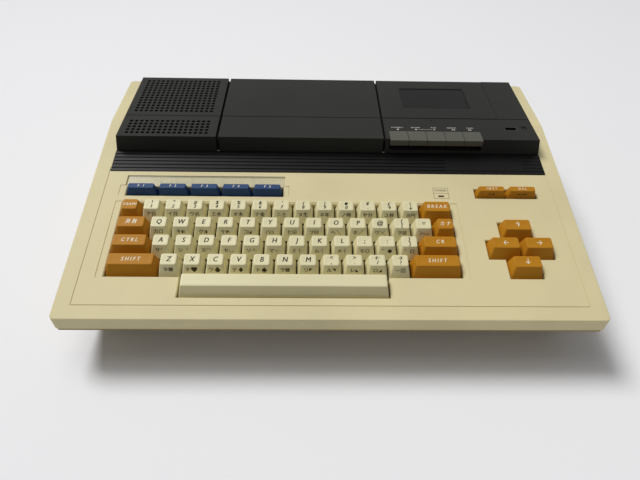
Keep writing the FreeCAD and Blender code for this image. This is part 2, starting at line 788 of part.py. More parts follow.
def upper_cabinet():
    body = new_body("upper_cabinet")
    profile = side_sketch(body, "side_profile")
    add_polygon(profile, [
        (FRONT, D.seam_height), (FRONT, D.front_height), (RIM_START, RIM_HEIGHT),
        (RIM_BACK, RIM_HEIGHT), (BACK, D.seam_height),
    ])
    shell = pad(body, "outer_form", profile, D.case_width, both=True)
    round_upper(body, shell)
    hollow_upper(body)
    cut_wells(body)
    cut_deck_details(body)
    opening = level_sketch(body, "cover_opening", RIM_HEIGHT + 1.0)
    add_rectangle(opening, *opening_corners())
    pocket(body, "cover_opening_cut", opening, 20.0)
    for number, (x, distance) in enumerate(SCREW_SPOTS, start=1):
        y = depth_at(distance)
        on_slope = y.value < RIM_START.value
        top = (deck_height(y) if on_slope else RIM_HEIGHT) - D.case_wall / 2
        rod(body, f"upper_boss_{number}", (x, y, SPLIT), D.boss_radius, top - SPLIT)
    holes = level_sketch(body, "pilot_holes", SPLIT - 1.0)
    for x, distance in SCREW_SPOTS:
        add_circle(holes, x, depth_at(distance), D.screw_radius + D.pin_gap)
    pocket(body, "pilot_hole_cuts", holes, D.screw_grip + 2.0, flip=True)
    spacers = deck_sketch(body, "spacer_outlines", -D.case_wall / 2)
    for u, v in SPACER_SPOTS:
        add_circle(spacers, u, v, D.spacer_radius)
    pad(body, "spacers", spacers, D.frame_top - D.case_wall / 2, flip=True)
    keep("upper_cabinet", body)


def lower_rectangle(front, side, back):
    """Level rectangle inside the case outline: left, front, right, back."""
    return (-SIDE + side, FRONT + front, SIDE - side, BACK - back)


def lower_cabinet():
    body = new_body("lower_cabinet")
    lip = LOWER_TOP - D.lip_height
    inset = D.lip_inset
    wall = D.case_wall
    belly = lower_rectangle(D.belly_front, D.belly_side, D.belly_back)
    outer = lower_rectangle(inset, inset, inset)
    frustum(body, "belly", belly, outer, D.belly_height, lip)
    block(body, "lip", (outer[0], outer[1], lip), (outer[2], outer[3], LOWER_TOP))
    floor = D.belly_height + D.floor_thickness
    slanted = 1.7 * wall
    inner_floor = lower_rectangle(D.belly_front, D.belly_side + wall, D.belly_back + wall)
    inner_top = lower_rectangle(inset + slanted, inset + wall, inset + wall)
    frustum(body, "hollow", inner_floor, inner_top, floor, lip, cut=True)
    inner_lip = lower_rectangle(inset + wall, inset + wall, inset + wall)
    block(body, "lip_hollow", (inner_lip[0], inner_lip[1], lip), (inner_lip[2], inner_lip[3], D.seam_height), cut=True)
    tongue = D.case_wall + D.fit_gap
    ring = level_sketch(body, "tongue_outline", LOWER_TOP - 2.0)
    add_rectangle(ring, *lower_rectangle(tongue, tongue, tongue + 0.5))
    inner = tongue + D.tongue_thickness
    add_rectangle(ring, *lower_rectangle(inner, inner, inner + 0.5))
    pad(body, "tongue", ring, D.seam_gap + D.tongue_height + 2.0)
    lower_bosses(body, floor)
    lower_ports(body)
    keep("lower_cabinet", body)


def lower_bosses(body, floor):
    start = D.belly_height + 1.0
    bosses = level_sketch(body, "boss_outlines", start)
    for x, distance in SCREW_SPOTS:
        add_circle(bosses, x, depth_at(distance), D.boss_radius)
    pad(body, "bosses", bosses, SPLIT - start)
    stands = level_sketch(body, "stand_outlines", floor - 1.0)
    for x, y in board_stands():
        add_circle(stands, x, y, D.spacer_radius)
    pad(body, "board_stands", stands, D.main_height - floor + 1.0)
    feet = level_sketch(body, "foot_outlines", D.belly_height)
    for x, y in foot_spots():
        add_circle(feet, x, y, D.foot_radius + D.fit_gap)
    pocket(body, "foot_recesses", feet, D.foot_sink, flip=True)
    holes = level_sketch(body, "screw_holes", 0.0)
    for x, distance in SCREW_SPOTS:
        add_circle(holes, x, depth_at(distance), D.screw_radius + D.pin_gap)
    pocket(body, "screw_hole_cuts", holes, SPLIT + 1.0, flip=True)
    sinks = level_sketch(body, "counterbores", 0.0)
    for x, distance in SCREW_SPOTS:
        add_circle(sinks, x, depth_at(distance), D.head_radius + D.fit_gap)
    pocket(body, "counterbore_cuts", sinks, D.head_seat, flip=True)


def lower_ports(body):
    sketch = new_sketch(body, "port_outlines")
    seat(sketch, body, "XZ_Plane", (0.0, 0.0, -(BACK + 1.0)))
    for left, right, low, high in PORTS.values():
        add_rectangle(sketch, left - D.port_gap, low - D.port_gap, right + D.port_gap, high + D.port_gap)
    add_circle(sketch, D.reset_x, D.reset_z, D.reset_radius + D.fit_gap)
    pocket(body, "ports", sketch, 14.0, flip=True)


def foot_spots():
    return [(x, depth_at(y)) for y in (D.foot_front, D.foot_rear) for x in (-D.foot_spread, D.foot_spread)]


def board_stands():
    edge = 8.0
    return [(x, depth_at(y)) for y in (D.main_front + edge, D.main_back - edge)
            for x in (D.main_left + edge, D.main_right - edge)]


def rubber_feet():
    body = new_body("rubber_feet")
    sketch = level_sketch(body, "foot_circles", 0.0)
    for x, y in foot_spots():
        add_circle(sketch, x, y, D.foot_radius)
    pad(body, "feet", sketch, D.belly_height + D.foot_sink)
    keep("rubber_feet", body)


def case_screws():
    body = new_body("case_screws")
    seat_height = D.head_seat
    shanks = level_sketch(body, "shanks", seat_height)
    heads = level_sketch(body, "heads", seat_height)
    for x, distance in SCREW_SPOTS:
        add_circle(shanks, x, depth_at(distance), D.screw_radius)
        add_circle(heads, x, depth_at(distance), D.head_radius)
    pad(body, "screw_shanks", shanks, SPLIT + D.screw_grip - seat_height)
    pad(body, "screw_heads", heads, D.head_height, flip=True)
    keep("case_screws", body)


# Pieces on the deck

def trim_strip():
    """Black strip with ribs that run from end to end, and a smooth end at the right."""
    body = new_body("trim_strip")
    base = -D.strip_sink
    block(body, "strip", (-D.strip_half, D.strip_front, base), (D.strip_half, D.strip_back, 0.0))
    span = D.strip_back - D.strip_front
    pitch = span / D.strip_ribs
    rib = pitch * 0.62
    sketch = level_sketch(body, "rib_outline", 0.0)
    add_rectangle(sketch, -D.strip_half, D.strip_front, D.strip_half, D.strip_front + rib)
    first = pad(body, "first_rib", sketch, D.strip_rib)
    pattern = body.newObject("PartDesign::LinearPattern", "ribs")
    pattern.Originals = [first]
    pattern.Direction = (origin_part(body, "Y_Axis"), [""])
    pattern.Occurrences = int(D.strip_ribs.value)
    bind(pattern, "Occurrences", D.strip_ribs)
    pattern.Length = float(pitch * (D.strip_ribs - 1))
    bind(pattern, "Length", pitch * (D.strip_ribs - 1))
    note_change(body, pattern, 1)
    block(body, "smooth_end", (D.badge_left, D.strip_front, base), (D.strip_half, D.strip_back, D.strip_rib))
    place_on_deck(body, 0.0, 0.0)
    keep("trim_strip", body)


def key_label_window():
    """Clear sheet over the labels of the function keys, with low dividers between them."""
    body = new_body("key_label_window")
    base = -D.window_sink
    gap = D.fit_gap
    left = D.window_left + 1.2
    block(body, "sheet", (left, D.window_front + gap, base),
          (D.window_right - gap, D.window_back - gap, base + D.window_thickness))
    for number in range(1, FUNCTION_COUNT):
        u = D.function_left + number * SMALL_UNITS * D.key_pitch
        block(body, f"divider_{number}", (u - 0.6, D.window_front + gap, base),
              (u + 0.6, D.window_back - gap, 0.0))
    place_on_deck(body, 0.0, 0.0)
    keep("key_label_window", body)


def power_lamp():
    body = new_body("power_lamp")
    gap = 0.15
    low = (D.lamp_left + gap, D.lamp_front + gap, -D.case_wall - 3.0)
    high = (D.lamp_left + D.lamp_width - gap, D.lamp_front + D.lamp_depth - gap, -0.2)
    block(body, "light_pipe", low, high)
    place_on_deck(body, 0.0, 0.0)
    keep("power_lamp", body)


# Keys

def make_cap(body, width, depth, small=False, lean=None, stems=(0.0,)):
    """Hollow tapered cap round its own middle, with one or more plungers."""
    rise = D.small_rise if small else D.cap_rise
    side = D.small_side_lean if small else D.cap_side_lean
    front = lean or (D.small_front_lean if small else D.cap_front_lean)
    back = D.small_back_lean if small else D.cap_back_lean
    stem = D.small_stem_side if small else D.stem_side
    shift = D.small_stem_back if small else D.stem_back
    wall = D.cap_wall
    half, reach = width / 2, depth / 2
    foot = (-half, -reach, half, reach)
    top = (-half + side, -reach + front, half - side, reach - back)
    frustum(body, "cap", foot, top, -D.cap_drop, rise)
    inner_foot = (-half + wall, -reach + wall, half - wall, reach - wall)
    inner_top = (-half + side + wall, -reach + front + wall, half - side - wall, reach - back - wall)
    frustum(body, "hollow", inner_foot, inner_top, -D.cap_drop, rise - wall, cut=True)
    for number, u in enumerate(stems, start=1):
        block(body, f"plunger_{number}", (u - stem / 2, shift - stem / 2, -D.stem_end),
              (u + stem / 2, shift + stem / 2, rise - wall / 2))


def row_middle(row):
    return D.grid_front + (row + 0.5) * D.key_pitch


def key_width(units):
    return units * D.key_pitch - D.key_gap


def main_keys():
    for name, row, first, units in MAIN_KEYS:
        body = new_body(name)
        stems = (-D.bar_guide, 0.0, D.bar_guide) if name == "space_bar" else (0.0,)
        lean = D.cap_front_lean - 0.6 if name == "space_bar" else None
        make_cap(body, key_width(units), key_width(1.0), lean=lean, stems=[as_size(u) for u in stems])
        place_on_deck(body, D.grid_left + (first + units / 2) * D.key_pitch, row_middle(row))
        keep(name, body)


def cursor_keys():
    for name, row, first in CURSOR_KEYS:
        body = new_body(name)
        make_cap(body, key_width(CURSOR_UNITS), key_width(1.0), stems=[as_size(0.0)])
        u = D.cursor_left + (first + CURSOR_UNITS / 2) * D.key_pitch
        place_on_deck(body, u, row_middle(row) - D.cursor_drop)
        keep(name, body)


def small_key_u(block_name, place):
    left = D.function_left if block_name == "function" else D.cursor_left
    return left + (place + 0.5) * SMALL_UNITS * D.key_pitch


def small_keys():
    for name, block_name, place in SMALL_KEYS:
        body = new_body(name)
        make_cap(body, key_width(SMALL_UNITS), D.small_depth - D.key_gap, small=True, stems=[as_size(0.0)])
        place_on_deck(body, small_key_u(block_name, place), D.small_front + D.small_depth / 2)
        keep(name, body)


def plain_rows():
    """Each row of plain letter or digit keys, as a pattern of one cap."""
    for name, row, first, count in PLAIN_ROWS:
        body = new_body(name)
        make_cap(body, key_width(1.0), key_width(1.0), stems=[as_size(0.0)])
        pattern = body.newObject("PartDesign::LinearPattern", "row_of_caps")
        pattern.TransformMode = "Whole shape"
        pattern.Direction = (origin_part(body, "X_Axis"), [""])
        pattern.Occurrences = count
        pattern.Length = float((count - 1) * D.key_pitch)
        bind(pattern, "Length", (count - 1) * D.key_pitch)
        note_change(body, pattern, 1)
        place_on_deck(body, D.grid_left + (first + 0.5) * D.key_pitch, row_middle(row))
        keep(name, body)


def plunger_spots():
    """Middle of every plunger in the deck frame, and whether it is a low key's."""
    spots = []
    for name, row, first, units in MAIN_KEYS:
        middle = D.grid_left + (first + units / 2) * D.key_pitch
        offsets = (-D.bar_guide, 0.0, D.bar_guide) if name == "space_bar" else (0.0,)
        spots += [(middle + u, row_middle(row) + D.stem_back, False) for u in offsets]
    for name, row, first, count in PLAIN_ROWS:
        for number in range(count):
            u = D.grid_left + (first + 0.5 + number) * D.key_pitch
            spots.append((u, row_middle(row) + D.stem_back, False))
    for name, row, first in CURSOR_KEYS:
        u = D.cursor_left + (first + CURSOR_UNITS / 2) * D.key_pitch
        spots.append((u, row_middle(row) - D.cursor_drop + D.stem_back, False))
    for name, block_name, place in SMALL_KEYS:
        v = D.small_front + D.small_depth / 2 + D.small_stem_back
        spots.append((small_key_u(block_name, place), v, True))
    return spots


def box_shape(low, high):
    low = V(*[float(part) for part in low])
    high = V(*[float(part) for part in high])
    span = high - low
    return Part.makeBox(span.x, span.y, span.z, low)


def boss_passage(low, high):
    """Space for the case boss that passes through the keyboard, in the deck frame."""
    u, distance = SCREW_SPOTS[1]
    return Part.makeCylinder(D.boss_radius.value + 2.0, high - low, V(u, distance / SLOPE_COS.value, low))


def keyboard_frame():
    """Moulded plate with a square guide for every plunger."""
    top = -D.frame_top.value
    under = top - D.frame_plate.value
    foot = under - D.sheet_gap.value
    corner = (D.frame_left, D.frame_front)
    far = (D.frame_right, D.frame_back)
    plate = box_shape((*corner, under), (*far, top))
    rim = 2.0
    skirt = box_shape((*corner, foot), (*far, under))
    inside = box_shape((corner[0] + rim, corner[1] + rim, foot), (far[0] - rim, far[1] - rim, under))
    guides, bores = [], []
    for u, v, small in plunger_spots():
        stem = D.small_stem_side if small else D.stem_side
        bore = stem / 2 + D.fit_gap
        side = bore + D.sleeve_wall
        height = D.small_sleeve_height if small else D.sleeve_height
        guides.append(box_shape((u - side, v - side, top - 0.5), (u + side, v + side, top + height)))
        bores.append(box_shape((u - bore, v - bore, under - 1.0), (u + bore, v + bore, top + height + 1.0)))
    shape = plate.multiFuse([skirt.cut(inside)] + guides)
    shape = shape.cut(bores + [boss_passage(foot - 1.0, top + 1.0)])
    piece = doc.addObject("Part::Feature", "keyboard_frame")
    piece.Shape = shape.removeSplitter()
    place_on_deck(piece, 0.0, 0.0)
    keep("keyboard_frame", piece)


def keyboard_layer(name, low, high, inset):
    """Flat sheet under the keyboard frame with a hole for the case boss."""
    body = new_body(name)
    block(body, "sheet", (D.frame_left + inset, D.frame_front + inset, low),
          (D.frame_right - inset, D.frame_back - inset, high))
    u, distance = SCREW_SPOTS[1]
    rod(body, "boss_hole", (u, distance / SLOPE_COS, low - 1.0), D.boss_radius + 2.0, high - low + 2.0, cut=True)
    place_on_deck(body, 0.0, 0.0)
    keep(name, body)


def keyboard_layers():
    sheet_top = -(D.frame_top + D.frame_plate + D.sheet_gap)
    sheet_under = sheet_top - D.sheet_thickness
    keyboard_layer("contact_sheet", sheet_under, sheet_top, 0.0)
    keyboard_layer("keyboard_board", sheet_under - D.board_thickness, sheet_under, 0.0)


# Black covers

def cover_block(body, left, right, left_draft, right_draft, hollow=True):
    """Cover that stands on the deck and the rim, with drafted outer walls."""
    front, back = depth_at(D.cover_front), depth_at(D.cover_back)
    top_front, top_back = depth_at(D.cover_top_front), depth_at(D.cover_top_back)
    low = deck_height(front) - 1.0
    foot = (left, front, right, back)
    top = (left + left_draft, top_front, right - right_draft, top_back)
    frustum(body, "block", foot, top, low, D.case_height)
    if hollow:
        wall = D.cover_wall
        inner_foot = (left + wall, front + wall, right - wall, back - wall)
        inner_top = (left + left_draft + wall, top_front + wall, right - right_draft - wall, top_back - wall)
        frustum(body, "hollow", inner_foot, inner_top, low, LID_UNDER, cut=True)
    under = side_sketch(body, "deck_profile")
    start, end = front - 5.0, back + 5.0
    bottom = low - 10.0
    add_polygon(under, [
        (start, bottom), (end, bottom), (end, RIM_HEIGHT), (RIM_START, RIM_HEIGHT), (start, deck_height(start)),
    ])
    pocket(body, "seat_on_deck", under, REACH, both=True)
    crease = depth_at(D.crease_y)
    half = D.crease_size / 2
    block(body, "crease", (left - 1.0, crease - half, D.case_height - D.crease_size),
          (right + 1.0, crease + half, D.case_height + 1.0), cut=True)


def outer_draft():
    return D.cover_half - D.cover_top_half


def vent_cover():
    """Left cover with two fields of square vent holes."""
    body = new_body("vent_cover_shell")
    cover_block(body, -D.cover_half, D.vent_right, outer_draft(), 0.0)
    boxes = []
    half = D.vent_hole.value / 2
    low, high = LID_UNDER.value - 1.0, D.case_height.value + 1.0
    fields = ((D.vent_rear_y, D.vent_rear_rows), (D.vent_front_y, D.vent_front_rows))
    for start, rows in fields:
        for row in range(int(rows.value)):
            for column in range(int(D.vent_columns.value)):
                x = D.vent_first_x.value + column * D.vent_pitch.value
                y = depth_at(start + row * D.vent_pitch).value
                boxes.append(box_shape((x - half, y - half, low), (x + half, y + half, high)))
    holes = doc.addObject("Part::Feature", "vent_hole_field")
    holes.Shape = Part.makeCompound(boxes)
    grille = doc.addObject("Part::Cut", "vent_cover")
    grille.Base = body
    grille.Tool = holes
    body.Tip.Refine = True
    keep("vent_cover", grille)


def bay_cover():
    body = new_body("bay_cover")
    cover_block(body, D.bay_left, D.bay_right, 0.0, 0.0)
    keep("bay_cover", body)


# Tape deck

def cut_key_bay(body):
    """Open bay under the five keys, with a floor and the lugs of the pivot rod."""
    left = D.tape_key_left - D.fit_gap
    right = D.tape_key_left + 5 * D.tape_key_pitch - D.tape_key_gap + D.fit_gap
    block(body, "key_bay", (left, depth_at(D.cover_front) - 2.0, D.bay_floor),
          (right, depth_at(D.tape_key_back) + D.fit_gap, D.case_height + 1.0), cut=True)
    block(body, "bay_floor_plate", (left - 1.0, depth_at(D.cover_top_front), D.bay_floor - 2.0),
          (right + 1.0, depth_at(200.0), D.bay_floor))
    lug_front, lug_back = depth_at(D.lever_y) - 3.5, depth_at(D.well_front) - D.tub_wall
    low, high = D.bay_floor - 1.5, LID_UNDER + 0.5
    block(body, "left_lug", (D.housing_left, lug_front, low), (left - 0.5, lug_back, high))
    block(body, "right_lug", (right + 0.3, lug_front, low), (right + 3.3, lug_back, high))
    rod(body, "rod_holes", (left - 3.0, depth_at(D.lever_y), D.lever_z), D.lever_rod + D.pin_gap,
        right - left + 6.0, "X", cut=True)


def add_cassette_well(body):
    """Solid frame under the door with the well sunk into it."""
    left, right = D.housing_left, D.door_right + D.fit_gap + 2.0
    front, back = depth_at(D.well_front) - D.tub_wall, depth_at(D.well_back) + D.tub_wall
    block(body, "well_frame", (left, front, TUB_UNDER), (right, back, LID_UNDER + 0.5))
    block(body, "panel_wall", (right - 2.0, back - 0.5, RIM_HEIGHT + 0.1),
          (right, depth_at(D.cover_top_back) - 0.5, LID_UNDER + 0.5))
    door_edge = D.door_right + D.fit_gap
    block(body, "door_recess", (left - 1.0, depth_at(D.door_front) - D.fit_gap, WELL_TOP),
          (door_edge, BACK, D.case_height + 1.0), cut=True)
    block(body, "cassette_well", (D.well_left, depth_at(D.well_front), D.well_floor),
          (D.well_right, depth_at(D.well_back), D.case_height - D.cover_wall), cut=True)
    for name, x, y, radius in (
        ("supply_hole", reel_x(-1), D.reel_y, 3.3),
        ("takeup_hole", reel_x(1), D.reel_y, 3.3),
        ("capstan_hole", D.capstan_x, D.capstan_y, 1.8),
    ):
        rod(body, name, (x, depth_at(y), TUB_UNDER - 1.0), radius, D.tub_floor + 2.0, cut=True)


def add_door_ears(body):
    """Rear corners that hold the door's pins."""
    left, right = D.housing_left, D.door_right + D.fit_gap
    well_rear = depth_at(D.well_back) + D.tub_wall
    foot_back = depth_at(D.cover_back)
    ear = 3.8
    block(body, "rear_step", (left - 1.0, well_rear, D.hinge_z), (right, foot_back + 1.0, D.case_height + 1.0), cut=True)
    block(body, "barrel_space", (left + ear, well_rear, RIM_HEIGHT - 0.5),
          (right - ear, foot_back + 1.0, D.hinge_z + 1.0), cut=True)
    ear_back = depth_at(D.cover_back - D.opening_inset) - D.fit_gap
    for name, start in (("left_ear", left), ("right_ear", right - ear)):
        block(body, f"{name}_foot", (start, well_rear - 0.5, D.bay_floor), (start + ear, ear_back, D.hinge_z))
        rod(body, name, (start, depth_at(D.hinge_y), D.hinge_z), D.barrel_radius - 0.1, ear, "X")
        rod(body, f"{name}_bore", (start - 1.0, depth_at(D.hinge_y), D.hinge_z), D.hinge_pin + D.pin_gap,
            ear + 2.0, "X", cut=True)


def add_counter_seat(body):
    """Window and lugs of the tape counter, and the hole of its button."""
    left, right = D.counter_left, D.counter_left + D.counter_width
    front, back = depth_at(D.counter_front), depth_at(D.counter_front + D.counter_depth)
    block(body, "counter_window", (left, front, LID_UNDER - 1.0), (right, back, D.case_height + 1.0), cut=True)
    for name, start in (("left_counter_lug", left - 1.8), ("right_counter_lug", right + 0.2)):
        block(body, name, (start, front, D.counter_z - 2.5), (start + 1.6, back, LID_UNDER + 0.5))
    middle = depth_at(D.counter_front + D.counter_depth / 2)
    rod(body, "counter_bore", (left - 2.5, middle, D.counter_z), 1.1, D.counter_width + 5.0, "X", cut=True)
    rod(body, "zero_hole", (D.zero_x, depth_at(D.zero_y), LID_UNDER - 1.0), D.zero_radius + D.fit_gap,
        D.cover_wall + 2.0, cut=True)


def reel_x(side):
    return D.reel_middle + side * D.reel_spacing / 2


def deck_housing():
    body = new_body("deck_housing")
    cover_block(body, D.housing_left, D.cover_half, 0.0, outer_draft())
    add_cassette_well(body)
    add_door_ears(body)
    cut_key_bay(body)
    add_counter_seat(body)
    line = D.crease_size / 2
    keep("deck_housing", body)
    return line


def cassette_door():
    body = new_body("cassette_door")
    left, right = D.housing_left, D.door_right
    front, back = depth_at(D.door_front), depth_at(D.door_back)
    block(body, "plate", (left, front, DOOR_UNDER), (right, back, D.case_height))
    hinge_y = depth_at(D.hinge_y)
    gap = 4.2
    start, end = left + gap, right - gap + D.fit_gap
    rod(body, "barrel", (start, hinge_y, D.hinge_z), D.barrel_radius, end - start, "X")
    rod(body, "pins", (left + 0.5, hinge_y, D.hinge_z), D.hinge_pin, right - left - 0.7, "X")
    block(body, "web", (start, hinge_y - 1.2, D.hinge_z), (end, hinge_y + 1.2, DOOR_UNDER + 0.5))
    pane_top = D.case_height - 0.4
    ledge = D.pane_ledge
    gap = 0.2
    block(body, "pane_seat", (D.pane_left - gap, depth_at(D.pane_front) - gap, pane_top - D.pane_thickness),
          (D.pane_right + gap, depth_at(D.pane_back) + gap, D.case_height + 1.0), cut=True)
    block(body, "pane_opening", (D.pane_left + ledge, depth_at(D.pane_front) + ledge, DOOR_UNDER - 1.0),
          (D.pane_right - ledge, depth_at(D.pane_back) - ledge, D.case_height), cut=True)
    keep("cassette_door", body)
    pane = new_body("door_window")
    block(pane, "pane", (D.pane_left, depth_at(D.pane_front), pane_top - D.pane_thickness),
          (D.pane_right, depth_at(D.pane_back), pane_top))
    keep("door_window", pane)


def tape_keys():
    """Five levers that turn on one rod, each with a flat finger plate and a front face."""
    for number, name in enumerate(TAPE_KEYS):
        body = new_body(name)
        profile = side_sketch(body, "lever_profile")
        top = D.case_height
        front, back = depth_at(D.tape_key_front), depth_at(D.tape_key_back)
        pivot = depth_at(D.lever_y)
        arm_top = LID_UNDER - 1.0
        add_polygon(profile, [
            (front, top - D.tape_key_face), (front, top), (back, top), (back, arm_top), (pivot + 3.5, arm_top),
            (pivot + 3.5, D.lever_z - 3.0), (pivot - 3.5, D.lever_z - 3.0), (back, D.lever_z - 0.8),
            (front + 3.0, top - D.tape_key_face - 1.0),
        ])
        width = D.tape_key_pitch - D.tape_key_gap
        left = D.tape_key_left + number * D.tape_key_pitch
        pad(body, "lever", profile, width)
        rod(body, "rod_bore", (-1.0, pivot, D.lever_z), D.lever_rod + D.pin_gap, width + 2.0, "X", cut=True)
        body.Placement = FreeCAD.Placement(V(left.value, 0, 0), FreeCAD.Rotation())
        bind(body, "Placement.Base.x", left)
        keep(name, body)


def reel_spindle(name, x):
    body = new_body(name)
    y = depth_at(D.reel_y)
    rod(body, "journal", (x, y, D.chassis_top - 3.5), 1.5, 5.5)
    rod(body, "collar", (x, y, D.chassis_top + 0.3), 3.0, 2.0)
    rod(body, "table", (x, y, D.chassis_top + 2.0), 10.0, 2.0)
    rod(body, "hub", (x, y, D.chassis_top + 3.5), 2.8, D.spindle_top - D.chassis_top - 3.5)
    fin = level_sketch(body, "fin_outline", D.well_floor + 1.5)
    add_rectangle(fin, x - 0.7, y, x + 0.7, y + 4.2)
    pad(body, "fin", fin, D.spindle_top - D.well_floor - 3.0)
    for turn in (120.0, 240.0):
        angle = math.radians(turn)
        spot = (x - 4.2 * math.sin(angle), y + 4.2 * math.cos(angle))
        toward = V(-math.sin(angle), math.cos(angle), 0)
        across = V(math.cos(angle), math.sin(angle), 0) * 0.7
        sketch = level_sketch(body, f"fin_outline_{int(turn)}", D.well_floor + 1.5)
        add_polygon(sketch, [
            (x - across.x, y - across.y), (x + across.x, y + across.y),
            (spot[0] + across.x, spot[1] + across.y), (spot[0] - across.x, spot[1] - across.y),
        ])
        pad(body, f"fin_{int(turn)}", sketch, D.spindle_top - D.well_floor - 3.0)
        del toward
    keep(name, body)


def turned(body, name, x, y, profile):
    """Round piece on an upright axis: profile is radius and height pairs."""
    sketch = new_sketch(body, f"{name}_profile")
    seat(sketch, body, "XZ_Plane", (x, 0.0, -as_size(y)))
    add_polygon(sketch, profile)
    feature = body.newObject("PartDesign::Revolution", name)
    feature.Profile = sketch
    feature.ReferenceAxis = (sketch, ["V_Axis"])
    feature.Angle = 360.0
    return note_change(body, feature, 1)


def drive_parts():
    y = depth_at(D.capstan_y)
    wheel = new_body("flywheel")
    base, high = D.flywheel_base, D.flywheel_base + D.flywheel_height
    rim, web = D.flywheel_radius - 4.0, 1.5
    turned(wheel, "wheel", D.capstan_x, y, [
        (0.0, base), (5.0, base), (5.0, base + web), (rim, base + web), (rim, base), (D.flywheel_radius, base),
        (D.flywheel_radius, high), (rim, high), (rim, high - web), (5.0, high - web), (5.0, high), (0.0, high),
    ])
    rod(wheel, "capstan", (D.capstan_x, y, D.flywheel_base - 5.0), D.capstan_radius, D.spindle_top - D.flywheel_base + 5.0)
    keep("flywheel", wheel)
    pulley = new_body("motor_pulley")
    low = D.motor_top + 1.2
    flange = D.pulley_radius + 1.5
    turned(pulley, "pulley", D.motor_x, y, [
        (0.0, low), (flange, low), (flange, low + 0.7), (D.pulley_radius, low + 1.0), (D.pulley_radius, low + 3.0),
        (flange, low + 3.3), (flange, low + 4.0), (0.0, low + 4.0),
    ])
    rod(pulley, "shaft", (D.motor_x, y, D.motor_top - 2.5), 1.0, 5.0)
    keep("motor_pulley", pulley)
    motor = new_body("deck_motor")
    turned(motor, "can", D.motor_x, y, [
        (0.0, D.motor_top - D.motor_height), (D.motor_radius - 1.5, D.motor_top - D.motor_height),
        (D.motor_radius, D.motor_top - D.motor_height + 1.5), (D.motor_radius, D.motor_top), (0.0, D.motor_top),
    ])
    rod(motor, "shaft_bore", (D.motor_x, y, D.motor_top - 3.0), 1.0 + D.pin_gap, 4.0, cut=True)
    keep("deck_motor", motor)
    drive_belt(y, low + 1.25)


def belt_face(grow, y):
    """Face of a belt line round flywheel and pulley, at this distance from their rims."""
    small, large = D.pulley_radius.value + grow, D.flywheel_radius.value + grow
    x0, x1 = D.motor_x.value, D.capstan_x.value
    lean = math.acos((small - large) / (x1 - x0))
    corners = []
    for x, radius in ((x0, small), (x1, large)):
        for sign in (1, -1):
            corners.append(V(x + radius * math.cos(lean), y + sign * radius * math.sin(lean), 0))
    small_up, small_down, large_up, large_down = corners
    small_arc = Part.Arc(small_up, V(x0 - small, y, 0), small_down).toShape()
    large_arc = Part.Arc(large_down, V(x1 + large, y, 0), large_up).toShape()
    lower = Part.LineSegment(small_down, large_down).toShape()
    upper = Part.LineSegment(large_up, small_up).toShape()
    return Part.Face(Part.Wire([small_arc, lower, large_arc, upper]))


def drive_belt(y, height):
    inner = belt_face(D.fit_gap.value, y.value)
    outer = belt_face(D.fit_gap.value + D.belt_thickness.value, y.value)
    piece = doc.addObject("Part::Feature", "drive_belt")
    piece.Shape = outer.cut(inner).extrude(V(0, 0, D.belt_width.value))
    piece.Placement = FreeCAD.Placement(V(0, 0, height.value), FreeCAD.Rotation())
    keep("drive_belt", piece)


def deck_chassis():
    """Sheet-metal plate under the well, its posts, the flywheel bracket and the pivot rod."""
    body = new_body("deck_chassis")
    low = D.chassis_top - D.chassis_sheet
    left, right = D.well_left, D.well_right + 2.0
    front, back = depth_at(198.0), depth_at(D.well_back)
    block(body, "plate", (left, front, low), (right, back, D.chassis_top))
    y = depth_at(D.capstan_y)
    inset = 4.0
    for number, (x, post_y) in enumerate((
        (left + inset, depth_at(D.well_front) + inset), (right - inset, depth_at(D.well_front) + inset),
        (left + inset, back - inset), (right - inset, back - inset),
    ), start=1):
        rod(body, f"post_{number}", (x, post_y, D.chassis_top - 0.5), 3.0, TUB_UNDER - D.chassis_top + 0.5)
    for number, offset in enumerate((-11.0, 11.0), start=1):
        rod(body, f"motor_post_{number}", (D.motor_x, y + offset, D.motor_top), 2.0, low - D.motor_top + 0.5)
    bracket_top = D.flywheel_base - 4.0
    reach = D.flywheel_radius + 4.0
    block(body, "bracket", (D.capstan_x - 5.0, y - reach - 3.0, bracket_top - 1.5),
          (D.capstan_x + 5.0, y + reach + 3.0, bracket_top))
    for number, offset in enumerate((-reach, reach), start=1):
        rod(body, f"bracket_post_{number}", (D.capstan_x, y + offset, bracket_top - 0.5), 2.0, low - bracket_top + 1.0)
    for number, (x, hole_y, radius) in enumerate((
        (reel_x(-1), depth_at(D.reel_y), 1.5), (reel_x(1), depth_at(D.reel_y), 1.5), (D.capstan_x, y, D.capstan_radius),
    ), start=1):
        rod(body, f"bearing_{number}", (x, hole_y, low - 1.0), radius + D.pin_gap, D.chassis_sheet + 2.0, cut=True)
    rod(body, "foot_bearing", (D.capstan_x, y, bracket_top - 2.5), D.capstan_radius + D.pin_gap, 3.5, cut=True)
    rod_left = D.tape_key_left - 2.8
    rod_length = 5 * D.tape_key_pitch + 5.0
    rod(body, "pivot_rod", (rod_left, depth_at(D.lever_y), D.lever_z), D.lever_rod, rod_length, "X")
    keep("deck_chassis", body)


def head_bridge():
    """Sliding plate with the heads and the pinch roller."""
    body = new_body("head_bridge")
    low = D.well_floor + D.fit_gap
    top = low + 1.5
    front = depth_at(D.well_front) + 0.7
    block(body, "plate", (93.0, front, low), (150.0, front + 6.0, top))
    block(body, "play_head", (106.5, front + 0.3, top - 0.2), (118.5, front + 6.8, D.spindle_top - 0.6))
    block(body, "erase_head", (96.0, front + 0.6, top - 0.2), (102.0, front + 6.4, D.spindle_top - 1.2))
    rod(body, "roller", (D.capstan_x, depth_at(D.roller_y), top - 0.2), D.roller_radius, D.spindle_top - top - 0.2)
    keep("head_bridge", body)


